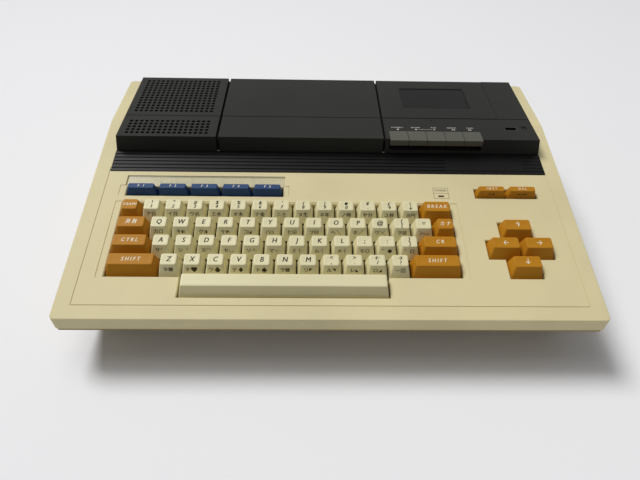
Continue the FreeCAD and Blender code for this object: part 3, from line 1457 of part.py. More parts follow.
def counter_parts():
    wheels = new_body("tape_counter")
    y = depth_at(D.counter_front + D.counter_depth / 2)
    left = D.counter_left
    rod(wheels, "axle", (left - 1.6, y, D.counter_z), 1.0, D.counter_width + 3.2, "X")
    rod(wheels, "wheels", (left + 0.4, y, D.counter_z), D.counter_radius, D.counter_width - 0.8, "X")
    keep("tape_counter", wheels)
    button = new_body("counter_reset_button")
    rod(button, "button", (D.zero_x, depth_at(D.zero_y), D.case_height - 6.0), D.zero_radius, 5.6)
    keep("counter_reset_button", button)


# Boards and sockets

def main_board():
    body = new_body("main_board")
    low, top = D.main_height, D.main_height + D.board_thickness
    left, right = D.main_left, D.main_right
    front, back = depth_at(D.main_front), depth_at(D.main_back)
    block(body, "board", (left, front, low), (right, back, top))
    for name in ("printer_slot", "bus_slot"):
        edge = PORTS[name]
        block(body, f"{name}_edge", (edge[0] + 2.0, back - 1.0, low), (edge[1] - 2.0, depth_at(296.0), top))
    chip_rows = ((3, 55.0, 14.0, 95.0), (8, 20.0, 7.0, 130.0), (8, 20.0, 7.0, 160.0), (2, 36.0, 36.0, 190.0))
    chips = level_sketch(body, "chip_outlines", top - 0.2)
    for count, length, width, distance in chip_rows:
        step = (right - left - 24.0) / count
        for number in range(count):
            x = left + 12.0 + number * step
            y = depth_at(distance)
            add_rectangle(chips, x, y, x + length, y + width)
    pad(body, "chips", chips, 4.2)
    keep("main_board", body)


def power_supply():
    body = new_body("power_supply")
    floor = D.belly_height + D.floor_thickness
    low = floor + 4.0
    left, right = D.supply_left, D.supply_right
    front, back = depth_at(D.supply_front), depth_at(D.supply_back)
    block(body, "board", (left, front, low), (right, back, low + D.board_thickness))
    for number, (x, y) in enumerate(
        ((left + 5.0, front + 5.0), (right - 5.0, front + 5.0), (left + 5.0, back - 5.0), (right - 5.0, back - 5.0)),
        start=1,
    ):
        rod(body, f"stand_{number}", (x, y, floor), 3.0, low - floor + 0.5)
    top = low + D.board_thickness - 0.2
    block(body, "transformer_core", (left + 8.0, front + 8.0, top), (left + 50.0, front + 42.0, top + 36.0))
    block(body, "transformer_coil", (left + 14.0, front + 3.0, top + 6.0), (left + 44.0, front + 47.0, top + 30.0))
    block(body, "heat_sink", (right - 10.0, front + 8.0, top), (right - 6.0, back - 8.0, top + 30.0))
    for number, distance in enumerate((56.0, 72.0), start=1):
        rod(body, f"capacitor_{number}", (left + 20.0, front + distance, top), 7.0, 25.0)
    keep("power_supply", body)


def speaker():
    body = new_body("speaker")
    base = D.belly_height + D.floor_thickness
    radius = D.speaker_radius
    turned(body, "frame_and_magnet", D.speaker_x, depth_at(D.speaker_y), [
        (0.0, base + 6.0), (radius - 6.0, base + 1.5), (radius - 3.0, base), (radius, base), (radius, base + 2.5),
        (radius - 3.0, base + 4.0), (16.0, base + 14.0), (16.0, base + 22.0), (0.0, base + 22.0),
    ])
    keep("speaker", body)


def socket_block(body, name, depth):
    left, right, low, high = PORTS[name]
    block(body, name, (left, depth_at(D.port_back - depth), low), (right, depth_at(D.port_back), high))
    return left, right, low, high


def rear_sockets():
    body = new_body("rear_sockets")
    face = depth_at(D.port_back)
    left, right, low, high = socket_block(body, "mains_inlet", 22.0)
    block(body, "inlet_cavity", (left + 3.0, face - 14.0, low + 3.0), (right - 3.0, face + 1.0, high - 3.0), cut=True)
    middle = (low + high) / 2
    for number, x in enumerate(((left + right) / 2 - 4.5, (left + right) / 2 + 4.5), start=1):
        rod(body, f"inlet_pin_{number}", (x, face - 15.0, middle), 1.2, 11.0, "Y")
    left, right, low, high = socket_block(body, "power_rocker", 18.0)
    block(body, "rocker_cavity", (left + 2.0, face - 12.0, low + 2.0), (right - 2.0, face + 1.0, high - 2.0), cut=True)
    reach = D.rocker_width / 2 + 2.1
    rod(body, "rocker_pivot_bore", (D.rocker_x - reach, face - 5.0, D.rocker_z), 1.0 + D.pin_gap, 2 * reach, "X", cut=True)
    left, right, low, high = socket_block(body, "video_socket", 16.0)
    rod(body, "video_ring", ((left + right) / 2, face - 3.0, (low + high) / 2), 6.8, 4.0, "Y", cut=True)
    rod(body, "video_key", ((left + right) / 2, face - 3.5, (low + high) / 2), 4.6, 3.0, "Y")
    for name in ("monitor_jack", "aerial_jack"):
        left, right, low, high = socket_block(body, name, 14.0)
        rod(body, f"{name}_barrel", ((left + right) / 2, face - 1.0, (low + high) / 2), 4.1, 5.5, "Y")
    for name in ("stick_socket_left", "stick_socket_right"):
        left, right, low, high = socket_block(body, name, 16.0)
        block(body, f"{name}_recess", (left + 2.0, face - 3.0, low + 3.0), (right - 2.0, face + 1.0, high - 3.0), cut=True)
    block(body, "reset_frame", (D.reset_x - 6.0, face - 16.0, D.main_height + D.board_thickness),
          (D.reset_x + 6.0, face - 8.0, D.reset_z + 6.0))
    rod(body, "reset_bore", (D.reset_x, face - 17.0, D.reset_z), 2.0 + D.fit_gap, 10.0, "Y", cut=True)
    keep("rear_sockets", body)


def power_rocker():
    """Rocker whose two halves meet at a shallow angle, with its off half pressed."""
    body = new_body("power_rocker")
    half = D.rocker_width / 2
    sketch = new_sketch(body, "rocker_profile")
    seat(sketch, body, "YZ_Plane")
    face = depth_at(D.port_back)
    low, high = D.rocker_z - 7.2, D.rocker_z + 7.2
    add_polygon(sketch, [
        (face - 4.5, low), (face - 1.8, low), (face - 0.6, D.rocker_z), (face + 2.0, high),
        (face - 3.0, high), (face - 7.0, D.rocker_z - 1.5),
    ])
    pad(body, "rocker", sketch, 2 * half, both=True)
    reach = half + 1.8
    rod(body, "pivots", (-reach, face - 5.0, D.rocker_z), 1.0, 2 * reach, "X")
    body.Placement = FreeCAD.Placement(V(D.rocker_x.value, 0, 0), FreeCAD.Rotation())
    bind(body, "Placement.Base.x", D.rocker_x)
    keep("power_rocker", body)


def reset_button():
    body = new_body("reset_button")
    face = depth_at(D.port_back)
    rod(body, "cap", (D.reset_x, face - 5.0, D.reset_z), D.reset_radius, 6.5, "Y")
    rod(body, "stem", (D.reset_x, face - 14.0, D.reset_z), 2.0, 10.0, "Y")
    keep("reset_button", body)


def build_all():
    upper_cabinet()
    lower_cabinet()
    rubber_feet()
    case_screws()
    trim_strip()
    key_label_window()
    power_lamp()
    main_keys()
    cursor_keys()
    small_keys()
    plain_rows()
    keyboard_frame()
    keyboard_layers()
    vent_cover()
    bay_cover()
    deck_housing()
    cassette_door()
    tape_keys()
    reel_spindle("supply_spindle", reel_x(-1))
    reel_spindle("takeup_spindle", reel_x(1))
    drive_parts()
    deck_chassis()
    head_bridge()
    counter_parts()
    main_board()
    power_supply()
    speaker()
    rear_sockets()
    power_rocker()
    reset_button()


def check_all():
    doc.recompute()
    for thing in doc.Objects:
        if "Invalid" in thing.State or "Error" in thing.State:
            raise ValueError(f"{thing.Label} failed: {thing.State}")
    for body, feature, sign in changes:
        before = feature.BaseFeature.Shape.Volume if feature.BaseFeature else 0.0
        if (feature.Shape.Volume - before) * sign <= 1e-6:
            raise ValueError(f"{feature.Label} in {body.Label} changed nothing")
    for name, thing in finished.items():
        if thing.Shape.isNull() or not thing.Shape.isValid() or not thing.Shape.Solids:
            raise ValueError(f"{name} is not a valid solid")


def write_all():
    os.makedirs("parts", exist_ok=True)
    for name, thing in finished.items():
        thing.Shape.exportStep(os.path.join("parts", f"{name}.step"))
        print(name, len(thing.Shape.Solids), round(thing.Shape.Volume, 1))
    print(len(finished), "nodes")


build_all()
check_all()
write_all()
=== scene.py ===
import math

import bmesh
import bpy
from mathutils import Matrix, Vector


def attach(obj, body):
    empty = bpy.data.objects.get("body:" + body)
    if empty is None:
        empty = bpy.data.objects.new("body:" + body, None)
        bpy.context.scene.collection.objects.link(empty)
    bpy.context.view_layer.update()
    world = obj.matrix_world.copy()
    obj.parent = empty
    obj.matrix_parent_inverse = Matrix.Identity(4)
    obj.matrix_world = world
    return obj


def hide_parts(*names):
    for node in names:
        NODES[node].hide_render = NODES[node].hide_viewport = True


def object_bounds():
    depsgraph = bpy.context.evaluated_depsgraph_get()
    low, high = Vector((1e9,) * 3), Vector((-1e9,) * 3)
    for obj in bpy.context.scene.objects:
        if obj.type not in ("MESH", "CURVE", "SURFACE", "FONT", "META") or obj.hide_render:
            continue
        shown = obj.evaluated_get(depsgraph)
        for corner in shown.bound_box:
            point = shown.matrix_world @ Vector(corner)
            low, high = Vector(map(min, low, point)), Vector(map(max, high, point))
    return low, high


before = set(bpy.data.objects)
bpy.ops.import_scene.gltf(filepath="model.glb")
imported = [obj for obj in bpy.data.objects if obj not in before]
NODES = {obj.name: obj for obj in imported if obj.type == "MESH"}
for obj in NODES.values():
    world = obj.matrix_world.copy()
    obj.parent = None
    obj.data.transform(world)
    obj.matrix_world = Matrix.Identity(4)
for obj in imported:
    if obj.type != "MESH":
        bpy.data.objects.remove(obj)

CAD_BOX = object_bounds()

# The keyboard deck, in millimetres: u to the right, v up the slope, w out of the deck
METRE = 1000.0
TILT = math.radians(10.3)
FRONT_Y = CAD_BOX[0].y * METRE
FRONT_Z = 54.0
TO_METRES = Matrix.Scale(1 / METRE, 4)
DECK = Matrix.Translation((0, FRONT_Y, FRONT_Z)) @ Matrix.Rotation(TILT, 4, "X")
TOP_Z = CAD_BOX[1].z * METRE

# The key grid
PITCH = 19.05
CAP_GAP = 0.85
GRID_LEFT = -186.6
GRID_FRONT = 19.7
CURSOR_LEFT = 133.98
CURSOR_DROP = 0.45
FUNCTION_LEFT = -186.1
SMALL_FRONT = 124.0
SMALL_DEPTH = 10.1
SMALL_UNITS = 1.5
CURSOR_UNITS = 1.5
BAR_FIRST = 3.25
BAR_UNITS = 9.0


class CapForm:
    """Sizes of one kind of key cap, in millimetres."""

    def __init__(self, rise, side, front, back, corner, dish, stem, stem_back):
        self.drop = 4.5
        self.rise = rise
        self.side = side
        self.front = front
        self.back = back
        self.corner = corner
        self.dish = dish
        self.stem = stem
        self.stem_back = stem_back


FULL_CAP = CapForm(rise=7.1, side=2.6, front=6.5, back=0.9, corner=1.5, dish=0.35, stem=5.0, stem_back=1.5)
BAR_CAP = CapForm(rise=7.1, side=2.6, front=5.9, back=0.9, corner=1.2, dish=0.0, stem=5.0, stem_back=1.5)
LOW_CAP = CapForm(rise=6.0, side=2.3, front=3.2, back=0.5, corner=1.2, dish=0.15, stem=2.8, stem_back=0.4)
CAP_WALL = 1.3
STEM_END = 9.0
CORNER_FACETS = 3
UPRIGHT_RISE = 2.0
BAR_GUIDE = 50.0

# Rings of a cap's top: reach and depth at the rim, then shares of its half depth and of its dish
RIM_STEPS = [(0.0, 0.35), (0.12, 0.12), (0.4, 0.0)]
DISH_STEPS = [(0.35, 0.5), (0.6, 0.85), (0.85, 1.0)]

# The tape keys, and the words and signs behind them
TAPE_LEFT = 58.2
TAPE_PITCH = 17.98
TAPE_WORDS = 197.6
TAPE_WORD_SIZE = 2.3
TAPE_WORD_SHIFT = 0.25
TAPE_SIGNS = 194.4
STOP_SIGN = 1.8
RECORD_SIGN = 1.0
ARROW_SIGN = 1.2
ARROW_STEP = 1.8
SIGN_GAP = 4.6

# The frame and the word printed round the lamp
LAMP_LABEL = (102.4, 129.2)
LAMP_LABEL_WIDTH = 14.0
LAMP_LABEL_DEPTH = 12.8
LAMP_BAR = 13.6
LAMP_WORD = (102.4, 132.4)
LAMP_WORD_SIZE = 2.9

# The cassette window, the counter window and the small hole before the lid, a dark disc of painted shade
DOOR_WINDOW = (112.25, 255.0)
DOOR_WINDOW_WIDTH = 70.0
DOOR_WINDOW_DEPTH = 40.6
DOOR_WINDOW_LINE = 0.5
COUNTER_WINDOW = (179.5, 197.3)
COUNTER_WINDOW_WIDTH = 12.6
COUNTER_WINDOW_DEPTH = 6.2
CATCH_HOLE = (102.5, 211.2)
CATCH_HOLE_RADIUS = 0.9

# The seams between the black covers, and the dark strips of painted shade deep in them
COVER_SEAMS = (-107.8, 52.85)
SEAM_WIDTH = 1.6
SEAM_FRONT = 178.7
SEAM_BACK = 290.5
SEAM_DEPTH = 3.0
SEAM_HEIGHT = 13.0

# The ribbed strip, its six ribs, the smooth plate at its right, its grooves as dark bars of painted shade,
# and the lip of painted shade behind it
STRIP_HALF = 205.8
STRIP_SMOOTH = 112.0
STRIP_BACK = 179.3
STRIP_FRONT = 153.0
STRIP_RIBS = 6
STRIP_RIB = 0.7
STRIP_PLATE_END = 186.0
STRIP_END = 0.6
GROOVE_MIDDLE = 0.81
GROOVE_SHARE = 0.36
GROOVE_LIFT = 0.01
LIP_BACK = 0.3
LIP_DEPTH = 1.4
LIP_SINK = 0.5
LIP_HEIGHT = 1.1

# Node, row counted from the space bar, first unit, caps as (letters on top, letters in front)
PLAIN_ROWS = [
    ("digit_row_keys", 4, 1.0, [
        ("!\n1", "ア日"), ("\"\n2", "イ月"), ("#\n3", "ウ火"), ("$\n4", "エ水"), ("%\n5", "オ木"),
        ("&\n6", "ナ金"), ("'\n7", "ニ土"), ("(\n8", "ヌ生"), (")\n9", "ネ年"), ("π\n0", "ノ時"),
        ("¥\n-", "ヤ分"), ("£\n↑", "ユ秒"), ("\\\n↓", "ヨ円"),
    ]),
    ("upper_letter_keys", 3, 1.5, [
        ("Q", "カ□"), ("W", "キ◧"), ("E", "ク◨"), ("R", "ケ◩"), ("T", "コ◪"),
        ("Y", "ハ◫"), ("U", "ヒ▣"), ("I", "フ▤"), ("O", "ヘ╲"), ("P", "ホ╱"),
        ("@", "ワ╳"), ("{\n[", "ヲ▥"), ("=", "ン▭"),
    ]),
    ("home_letter_keys", 2, 1.75, [
        ("A", "サ◜"), ("S", "シ◝"), ("D", "ス◠"), ("F", "セ◡"), ("G", "ソ┴"),
        ("H", "マ┬"), ("J", "ミ├"), ("K", "ム┤"), ("L", "メ┼"), (";", "モ○"),
        (":", "゛●"), ("}\n]", "゜□"),
    ]),
    ("lower_letter_keys", 1, 2.25, [
        ("Z", "タ▦"), ("X", "チ♥"), ("C", "ツ♣"), ("V", "テ♦"), ("B", "ト♠"),
        ("N", "ラ▩"), ("M", "リ◤"), ("<\n,", "ル◥"), (">\n.", "レ◣"), ("←\n/", "ロ◢"),
        ("→\n?", "ー▒"),
    ]),
]

# Styles and sizes of the letters, and how far print stands up from what carries it
PLAIN_STYLE = {"slant": 0.16, "stretch": 0.84, "line": 0.85, "bold": 0.13}
MARK_STYLE = {"spread": 1.05, "bold": 0.08}
WORD_STYLE = {"slant": 0.18, "stretch": 0.85, "bold": 0.06}
FRONT_WORD_STYLE = {"spread": 1.3, "bold": 0.04}
LABEL_BOLD = 0.05
LETTER_SIZE = 6.8
DOUBLE_LETTER_SIZE = 5.3
MARK_SIZE = 4.4
MARK_HEIGHT = 2.9
WORD_SIZE = 5.2
WORD_SPREAD = 1.5
LONG_WORD_SIZE = 3.8
LONG_WORD_SPREAD = 1.2
LOW_WORD_SIZE = 3.7
LOW_WORD_SPREAD = 1.7
ARROW_SIZE = 7.0
FRONT_WORD_SIZE = 2.8
FRONT_WORD_HEIGHT = 2.4
INK = 0.04
SECOND_INK = 0.002
LETTER_LIFT = 0.05
PRINTED_LINE = 0.3

# Wide keys: node, row, first unit, width in units, word
WIDE_KEYS = [
    ("graph_key", 4, 0.0, 1.0, "GRAPH"),
    ("break_key", 4, 14.0, 1.5, "BREAK"),
    ("alpha_key", 3, 0.0, 1.5, "英数"),
    ("kana_key", 3, 14.5, 1.0, "カナ"),
    ("control_key", 2, 0.0, 1.75, "CTRL"),
    ("return_key", 2, 13.75, 1.75, "CR"),
    ("left_shift_key", 1, 0.0, 2.25, "SHIFT"),
    ("right_shift_key", 1, 13.25, 2.25, "SHIFT"),
]
# Cursor keys: node, row, first unit, arrow
CURSOR_KEYS = [
    ("cursor_left_key", 2, 0.0, "←"),
    ("cursor_right_key", 2, 1.5, "→"),
    ("cursor_up_key", 3, 0.75, "↑"),
    ("cursor_down_key", 1, 0.75, "↓"),
]
# Low keys: node, place in the row, word on top, word in front
FUNCTION_KEYS = [
    (f"function_key_{number}", number - 1, f"F {number}", "") for number in range(1, 6)
]
EDIT_KEYS = [("insert_key", 0, "INST", "CLR"), ("delete_key", 1, "DEL", "HOME")]
TAPE_KEYS = [
    "stop_eject_key", "record_key", "play_key", "rewind_key", "fast_forward_key",
]


# Materials

def colour(red, green, blue, alpha=1.0):
    """A colour given on a 0 to 255 scale, as the shader wants it."""
    return tuple((part / 255) ** 2.2 for part in (red, green, blue)) + (alpha,)


def shaded(base, factor):
    return tuple(part * factor for part in base[:3]) + (1.0,)


def new_material(name):
    material = bpy.data.materials.new(name)
    material.use_nodes = True
    nodes = material.node_tree.nodes
    return material, nodes, material.node_tree.links, nodes["Principled BSDF"]


def moulded_plastic(
    name, base, roughness=0.55, grain=0.25, grain_size=900.0, wear=0.06, coat=0.0, shine=0.3
):
    """Plastic with a fine moulded grain and faint uneven ageing."""
    material, nodes, links, shader = new_material(name)
    place = nodes.new("ShaderNodeTexCoord")
    ageing = nodes.new("ShaderNodeTexNoise")
    ageing.inputs["Scale"].default_value = 9.0
    ageing.inputs["Detail"].default_value = 4.0
    ramp = nodes.new("ShaderNodeValToRGB")
    ramp.color_ramp.elements[0].position = 0.35
    ramp.color_ramp.elements[0].color = shaded(base, 1.0 - wear)
    ramp.color_ramp.elements[1].position = 0.65
    ramp.color_ramp.elements[1].color = shaded(base, 1.0 + wear)
    links.new(place.outputs["Object"], ageing.inputs["Vector"])
    links.new(ageing.outputs["Fac"], ramp.inputs["Fac"])
    links.new(ramp.outputs["Color"], shader.inputs["Base Color"])
    speckle = nodes.new("ShaderNodeTexNoise")
    speckle.inputs["Scale"].default_value = grain_size
    speckle.inputs["Detail"].default_value = 2.0
    bump = nodes.new("ShaderNodeBump")
    bump.inputs["Strength"].default_value = grain
    bump.inputs["Distance"].default_value = 0.0002
    links.new(place.outputs["Object"], speckle.inputs["Vector"])
    links.new(speckle.outputs["Fac"], bump.inputs["Height"])
    links.new(bump.outputs["Normal"], shader.inputs["Normal"])
    shader.inputs["Roughness"].default_value = roughness
    shader.inputs["Coat Weight"].default_value = coat
    shader.inputs["Specular IOR Level"].default_value = shine
    return material


def worked_metal(name, base, roughness=0.35, streak=60.0):
    """Plated or turned metal with faint streaks."""
    material, nodes, links, shader = new_material(name)
    place = nodes.new("ShaderNodeTexCoord")
    spread = nodes.new("ShaderNodeMapping")
    spread.inputs["Scale"].default_value = (1.0, 1.0, streak)
    streaks = nodes.new("ShaderNodeTexNoise")
    streaks.inputs["Scale"].default_value = 40.0
    levels = nodes.new("ShaderNodeMapRange")
    levels.inputs["To Min"].default_value = roughness - 0.08
    levels.inputs["To Max"].default_value = roughness + 0.12
    links.new(place.outputs["Object"], spread.inputs["Vector"])
    links.new(spread.outputs["Vector"], streaks.inputs["Vector"])
    links.new(streaks.outputs["Fac"], levels.inputs["Value"])
    links.new(levels.outputs["Result"], shader.inputs["Roughness"])
    shader.inputs["Base Color"].default_value = base
    shader.inputs["Metallic"].default_value = 1.0
    return material


def clear_plastic(name, base, roughness, share, shine):
    """Clear sheet: partly see-through, without bending the light."""
    material, nodes, links, shader = new_material(name)
    shader.inputs["Base Color"].default_value = base
    shader.inputs["Alpha"].default_value = share
    shader.inputs["Specular IOR Level"].default_value = shine
    place = nodes.new("ShaderNodeTexCoord")
    haze = nodes.new("ShaderNodeTexNoise")
    haze.inputs["Scale"].default_value = 30.0
    levels = nodes.new("ShaderNodeMapRange")
    levels.inputs["To Min"].default_value = roughness
    levels.inputs["To Max"].default_value = roughness + 0.08
    links.new(place.outputs["Object"], haze.inputs["Vector"])
    links.new(haze.outputs["Fac"], levels.inputs["Value"])
    links.new(levels.outputs["Result"], shader.inputs["Roughness"])
    return material


CASE_BEIGE = moulded_plastic("case_beige", colour(212, 200, 156), roughness=0.6, grain=0.3)
# The lower cabinet is the same beige plastic as the case; its darker colour is painted shade under the
# overhanging front edge.
BASE_BEIGE_PAINTED_SHADE = moulded_plastic("base_beige", colour(140, 122, 80), roughness=0.6, grain=0.3)
COVER_BLACK = moulded_plastic(
    "cover_black", colour(40, 40, 37),
    roughness=0.6, grain=0.35, grain_size=1400.0, wear=0.1, shine=0.12,
)
HOUSING_BLACK = moulded_plastic(
    "housing_black", colour(40, 40, 37),
    roughness=0.6, grain=0.35, grain_size=1400.0, wear=0.1, shine=0.12,
)
STRIP_BLACK = moulded_plastic("strip_black", colour(20, 19, 18), roughness=0.4, grain=0.05, shine=0.12)
KEY_CREAM = moulded_plastic(
    "key_cream", colour(218, 210, 168),
    roughness=0.45, grain=0.15, grain_size=1500.0, wear=0.03,
)
KEY_ORANGE = moulded_plastic(
    "key_orange", colour(177, 121, 34),
    roughness=0.5, grain=0.12, grain_size=1500.0, wear=0.04, shine=0.12,
)
KEY_BLUE = moulded_plastic(
    "key_blue", colour(46, 70, 108),
    roughness=0.5, grain=0.12, grain_size=1500.0, wear=0.05, shine=0.15,
)
KEY_GREY = moulded_plastic(
    "key_grey", colour(84, 83, 75),
    roughness=0.4, grain=0.1, grain_size=1500.0, wear=0.05, shine=0.15,
)
# Black of the inner parts, also used where it is painted shade: the seam strips, the groove bars and the
# small hole.
INNER_BLACK_AND_PAINTED_SHADE = moulded_plastic("inner_black_and_painted_shade", colour(14, 14, 13), roughness=0.7, grain=0.1, shine=0.08)
SOCKET_BLACK = moulded_plastic("socket_black", colour(38, 38, 38), roughness=0.5, grain=0.1)
RUBBER_BLACK = moulded_plastic(
    "rubber_black", colour(28, 28, 28),
    roughness=0.85, grain=0.4, grain_size=500.0,
)
RUBBER_GREY = moulded_plastic("rubber_grey", colour(96, 96, 92), roughness=0.8, grain=0.2)
BOARD_GREEN = moulded_plastic("board_green", colour(44, 92, 60), roughness=0.45, grain=0.1)
SPINDLE_WHITE = moulded_plastic("spindle_white", colour(222, 220, 208), roughness=0.4, grain=0.05)
BUTTON_GREY = moulded_plastic("button_grey", colour(12, 12, 12), roughness=0.4, grain=0.05, shine=0.1)
LAMP_RED = moulded_plastic("lamp_red", colour(72, 26, 22), roughness=0.2, grain=0.02, coat=0.5)
SPEAKER_PAINT = moulded_plastic("speaker_paint", colour(70, 70, 70), roughness=0.5, grain=0.1)
PLATED_STEEL = worked_metal("plated_steel", colour(190, 190, 186))
TURNED_STEEL = worked_metal("turned_steel", colour(200, 200, 198), roughness=0.28, streak=1.0)
TURNED_BRASS = worked_metal("turned_brass", colour(205, 175, 105), roughness=0.3, streak=1.0)
LABEL_CLEAR = clear_plastic("label_clear", colour(215, 215, 195), roughness=0.15, share=0.28, shine=0.4)
DOOR_SMOKE = clear_plastic("door_smoke", colour(26, 26, 25), roughness=0.3, share=0.93, shine=0.08)
INK_BLACK = moulded_plastic(
    "ink_black", colour(26, 24, 22),
    roughness=0.6, grain=0.02, wear=0.02, shine=0.1,
)
INK_BROWN = moulded_plastic(
    "ink_brown", colour(66, 58, 40),
    roughness=0.6, grain=0.02, wear=0.02, shine=0.1,
)
INK_DARK_GREY = moulded_plastic(
    "ink_dark_grey", colour(84, 84, 80),
    roughness=0.6, grain=0.02, wear=0.02, shine=0.1,
)
INK_WHITE = moulded_plastic("ink_white", colour(232, 226, 200), roughness=0.5, grain=0.02, wear=0.02)
INK_PALE = moulded_plastic("ink_pale", colour(188, 188, 180), roughness=0.5, grain=0.02, wear=0.02)

# A material with the name of its slot
ORANGE_PAINT = (KEY_ORANGE, "key_orange")
BLUE_PAINT = (KEY_BLUE, "key_blue")
CREAM_PAINT = (KEY_CREAM, "key_cream")

NODE_FINISH = {
    CASE_BEIGE: ["upper_cabinet"],
    BASE_BEIGE_PAINTED_SHADE: ["lower_cabinet"],
    RUBBER_BLACK: ["rubber_feet", "drive_belt"],
    PLATED_STEEL: ["case_screws", "deck_chassis", "deck_motor"],
    STRIP_BLACK: ["trim_strip"],
    COVER_BLACK: ["vent_cover", "bay_cover"],
    HOUSING_BLACK: ["deck_housing", "cassette_door"],
    LABEL_CLEAR: ["key_label_window"],
    LAMP_RED: ["power_lamp"],
    INNER_BLACK_AND_PAINTED_SHADE: ["keyboard_frame", "tape_counter"],
    RUBBER_GREY: ["contact_sheet"],
    BOARD_GREEN: ["keyboard_board", "main_board"],
    SPEAKER_PAINT: ["speaker", "power_supply"],
    SOCKET_BLACK: ["rear_sockets", "power_rocker", "reset_button"],
    DOOR_SMOKE: ["door_window"],
    KEY_GREY: TAPE_KEYS,
    SPINDLE_WHITE: ["supply_spindle", "takeup_spindle"],
    TURNED_STEEL: ["flywheel", "head_bridge"],
    TURNED_BRASS: ["motor_pulley"],
    BUTTON_GREY: ["counter_reset_button"],
}


# Widths of the softened edges, in millimetres
SOFT_EDGES = {
    "upper_cabinet": 0.5,
    "lower_cabinet": 0.6,
    "bay_cover": 0.4,
    "deck_housing": 0.3,
    "cassette_door": 0.3,
    "trim_strip": 0.15,
}
SOFT_ANGLE = math.radians(50)
WELD_REACH = 0.00001
CREASE_ANGLE = math.radians(35.0)


def soften_edges():
    """Softens the moulded edges of the large case pieces."""
    for name, width in SOFT_EDGES.items():
        joined = NODES[name].modifiers.new("joined_corners", "WELD")
        joined.merge_threshold = WELD_REACH
        edge = NODES[name].modifiers.new("soft_edges", "BEVEL")
        edge.width = width / METRE
        edge.segments = 2
        edge.limit_method = "ANGLE"
        edge.angle_limit = SOFT_ANGLE
        edge.use_clamp_overlap = True


def finish_nodes():
    for material, names in NODE_FINISH.items():
        for name in names:
            for place in NODES[name].material_slots:
                place.material = material


# Making pieces

def merge(bm, other, place):
    """Adds another bmesh to this one, at a place."""
    bmesh.ops.transform(other, matrix=place, verts=other.verts)
    mesh = bpy.data.meshes.new("part")
    other.to_mesh(mesh)
    other.free()
    bm.from_mesh(mesh)
    bpy.data.meshes.remove(mesh)


def finish_piece(name, bm, material, body):
    """Turns a bmesh in millimetres into a piece that rides on a body."""
    bmesh.ops.transform(bm, matrix=TO_METRES, verts=bm.verts)
    for face in bm.faces:
        face.smooth = True
    for edge in bm.edges:
        if len(edge.link_faces) == 2 and edge.calc_face_angle(0.0) > CREASE_ANGLE:
            edge.smooth = False
    mesh = bpy.data.meshes.new(name)
    bm.to_mesh(mesh)
    bm.free()
    mesh.materials.append(material)
    piece = bpy.data.objects.new(name, mesh)
    bpy.context.collection.objects.link(piece)
    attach(piece, body)
    return piece


def top_steps(form, half_y):
    """Rings of a cap's top: how far in from its edge, and how far under its highest plane."""
    return RIM_STEPS + [(reach * half_y, form.dish * share) for reach, share in DISH_STEPS]


def top_depth(form, half_y, distance):
    steps = top_steps(form, half_y)
    for (near, high), (far, low) in zip(steps, steps[1:]):
        if distance <= far:
            return high + (low - high) * max(distance - near, 0.0) / (far - near)
    return steps[-1][1]


def ring(bm, face, shares, centre_y, height):
    """Grows a new face out of this one, drawn in round a centre and set at a height."""
    grown = bmesh.ops.extrude_discrete_faces(bm, faces=[face])["faces"][0]
    for vert in grown.verts:
        vert.co.x *= shares[0]
        vert.co.y = centre_y + (vert.co.y - centre_y) * shares[1]
        vert.co.z = height
    return grown


def rounded(bm, edges, radius, segments):
    return bmesh.ops.bevel(
        bm, geom=edges, offset=radius, offset_type="OFFSET", affect="EDGES",
        segments=segments, profile=0.5, material=-1,
    )


def upright_edges(bm):
    return [
        edge for edge in bm.edges
        if abs(edge.verts[0].co.z - edge.verts[1].co.z) > UPRIGHT_RISE
    ]


def hollow_cap(bm, form, width, depth, stems):
    """Opens the underside of a cap and stands its plungers in the hollow."""
    under = min(bm.faces, key=lambda face: face.calc_center_median().z)
    rim = ring(bm, under, (1 - 2 * CAP_WALL / width, 1 - 2 * CAP_WALL / depth), 0.0, -form.drop)
    half_x, half_y = top_half(form, width, depth)
    shares = (
        (half_x - CAP_WALL) / (width / 2 - CAP_WALL),
        (half_y - CAP_WALL) / (depth / 2 - CAP_WALL),
    )
    roof = ring(bm, rim, shares, 0.0, form.rise - CAP_WALL - form.dish)
    bmesh.ops.translate(bm, vec=(0, (form.front - form.back) / 2, 0), verts=roof.verts)
    for u in stems:
        plunger = bmesh.new()
        bmesh.ops.create_cube(plunger, size=1.0)
        length = STEM_END + form.rise - CAP_WALL
        bmesh.ops.scale(plunger, vec=(form.stem, form.stem, length), verts=plunger.verts)
        merge(bm, plunger, Matrix.Translation((u, form.stem_back, length / 2 - STEM_END)))


def key_cap(form, width, depth, stems=(0.0,)):
    """One cap round its own middle: leaning sides, round corners, a dished top and a hollow."""
    bm = bmesh.new()
    bmesh.ops.create_cube(bm, size=1.0)
    height = form.rise + form.drop
    bmesh.ops.scale(bm, vec=(width, depth, height), verts=bm.verts)
    bmesh.ops.translate(bm, vec=(0, 0, form.rise - height / 2), verts=bm.verts)
    top = [vert for vert in bm.verts if vert.co.z > 0]
    half_x, half_y = top_half(form, width, depth)
    bmesh.ops.scale(bm, vec=(2 * half_x / width, 2 * half_y / depth, 1), verts=top)
    bmesh.ops.translate(bm, vec=(0, (form.front - form.back) / 2, 0), verts=top)
    rounded(bm, upright_edges(bm), form.corner, CORNER_FACETS)
    shape_top(bm, form, half_x, half_y)
    hollow_cap(bm, form, width, depth, stems)
    return bm


def top_half(form, width, depth):
    return width / 2 - form.side, (depth - form.front - form.back) / 2


def shape_top(bm, form, half_x, half_y):
    """Rounds the rim of a cap's top and presses a shallow hollow into it."""
    face = max(bm.faces, key=lambda item: item.calc_center_median().z)
    reached, low = top_steps(form, half_y)[0]
    for vert in face.verts:
        vert.co.z = form.rise - low
    for distance, low in top_steps(form, half_y)[1:]:
        shares = (
            (half_x - distance) / (half_x - reached),
            (half_y - distance) / (half_y - reached),
        )
        face = ring(bm, face, shares, (form.front - form.back) / 2, form.rise - low)
        reached = distance


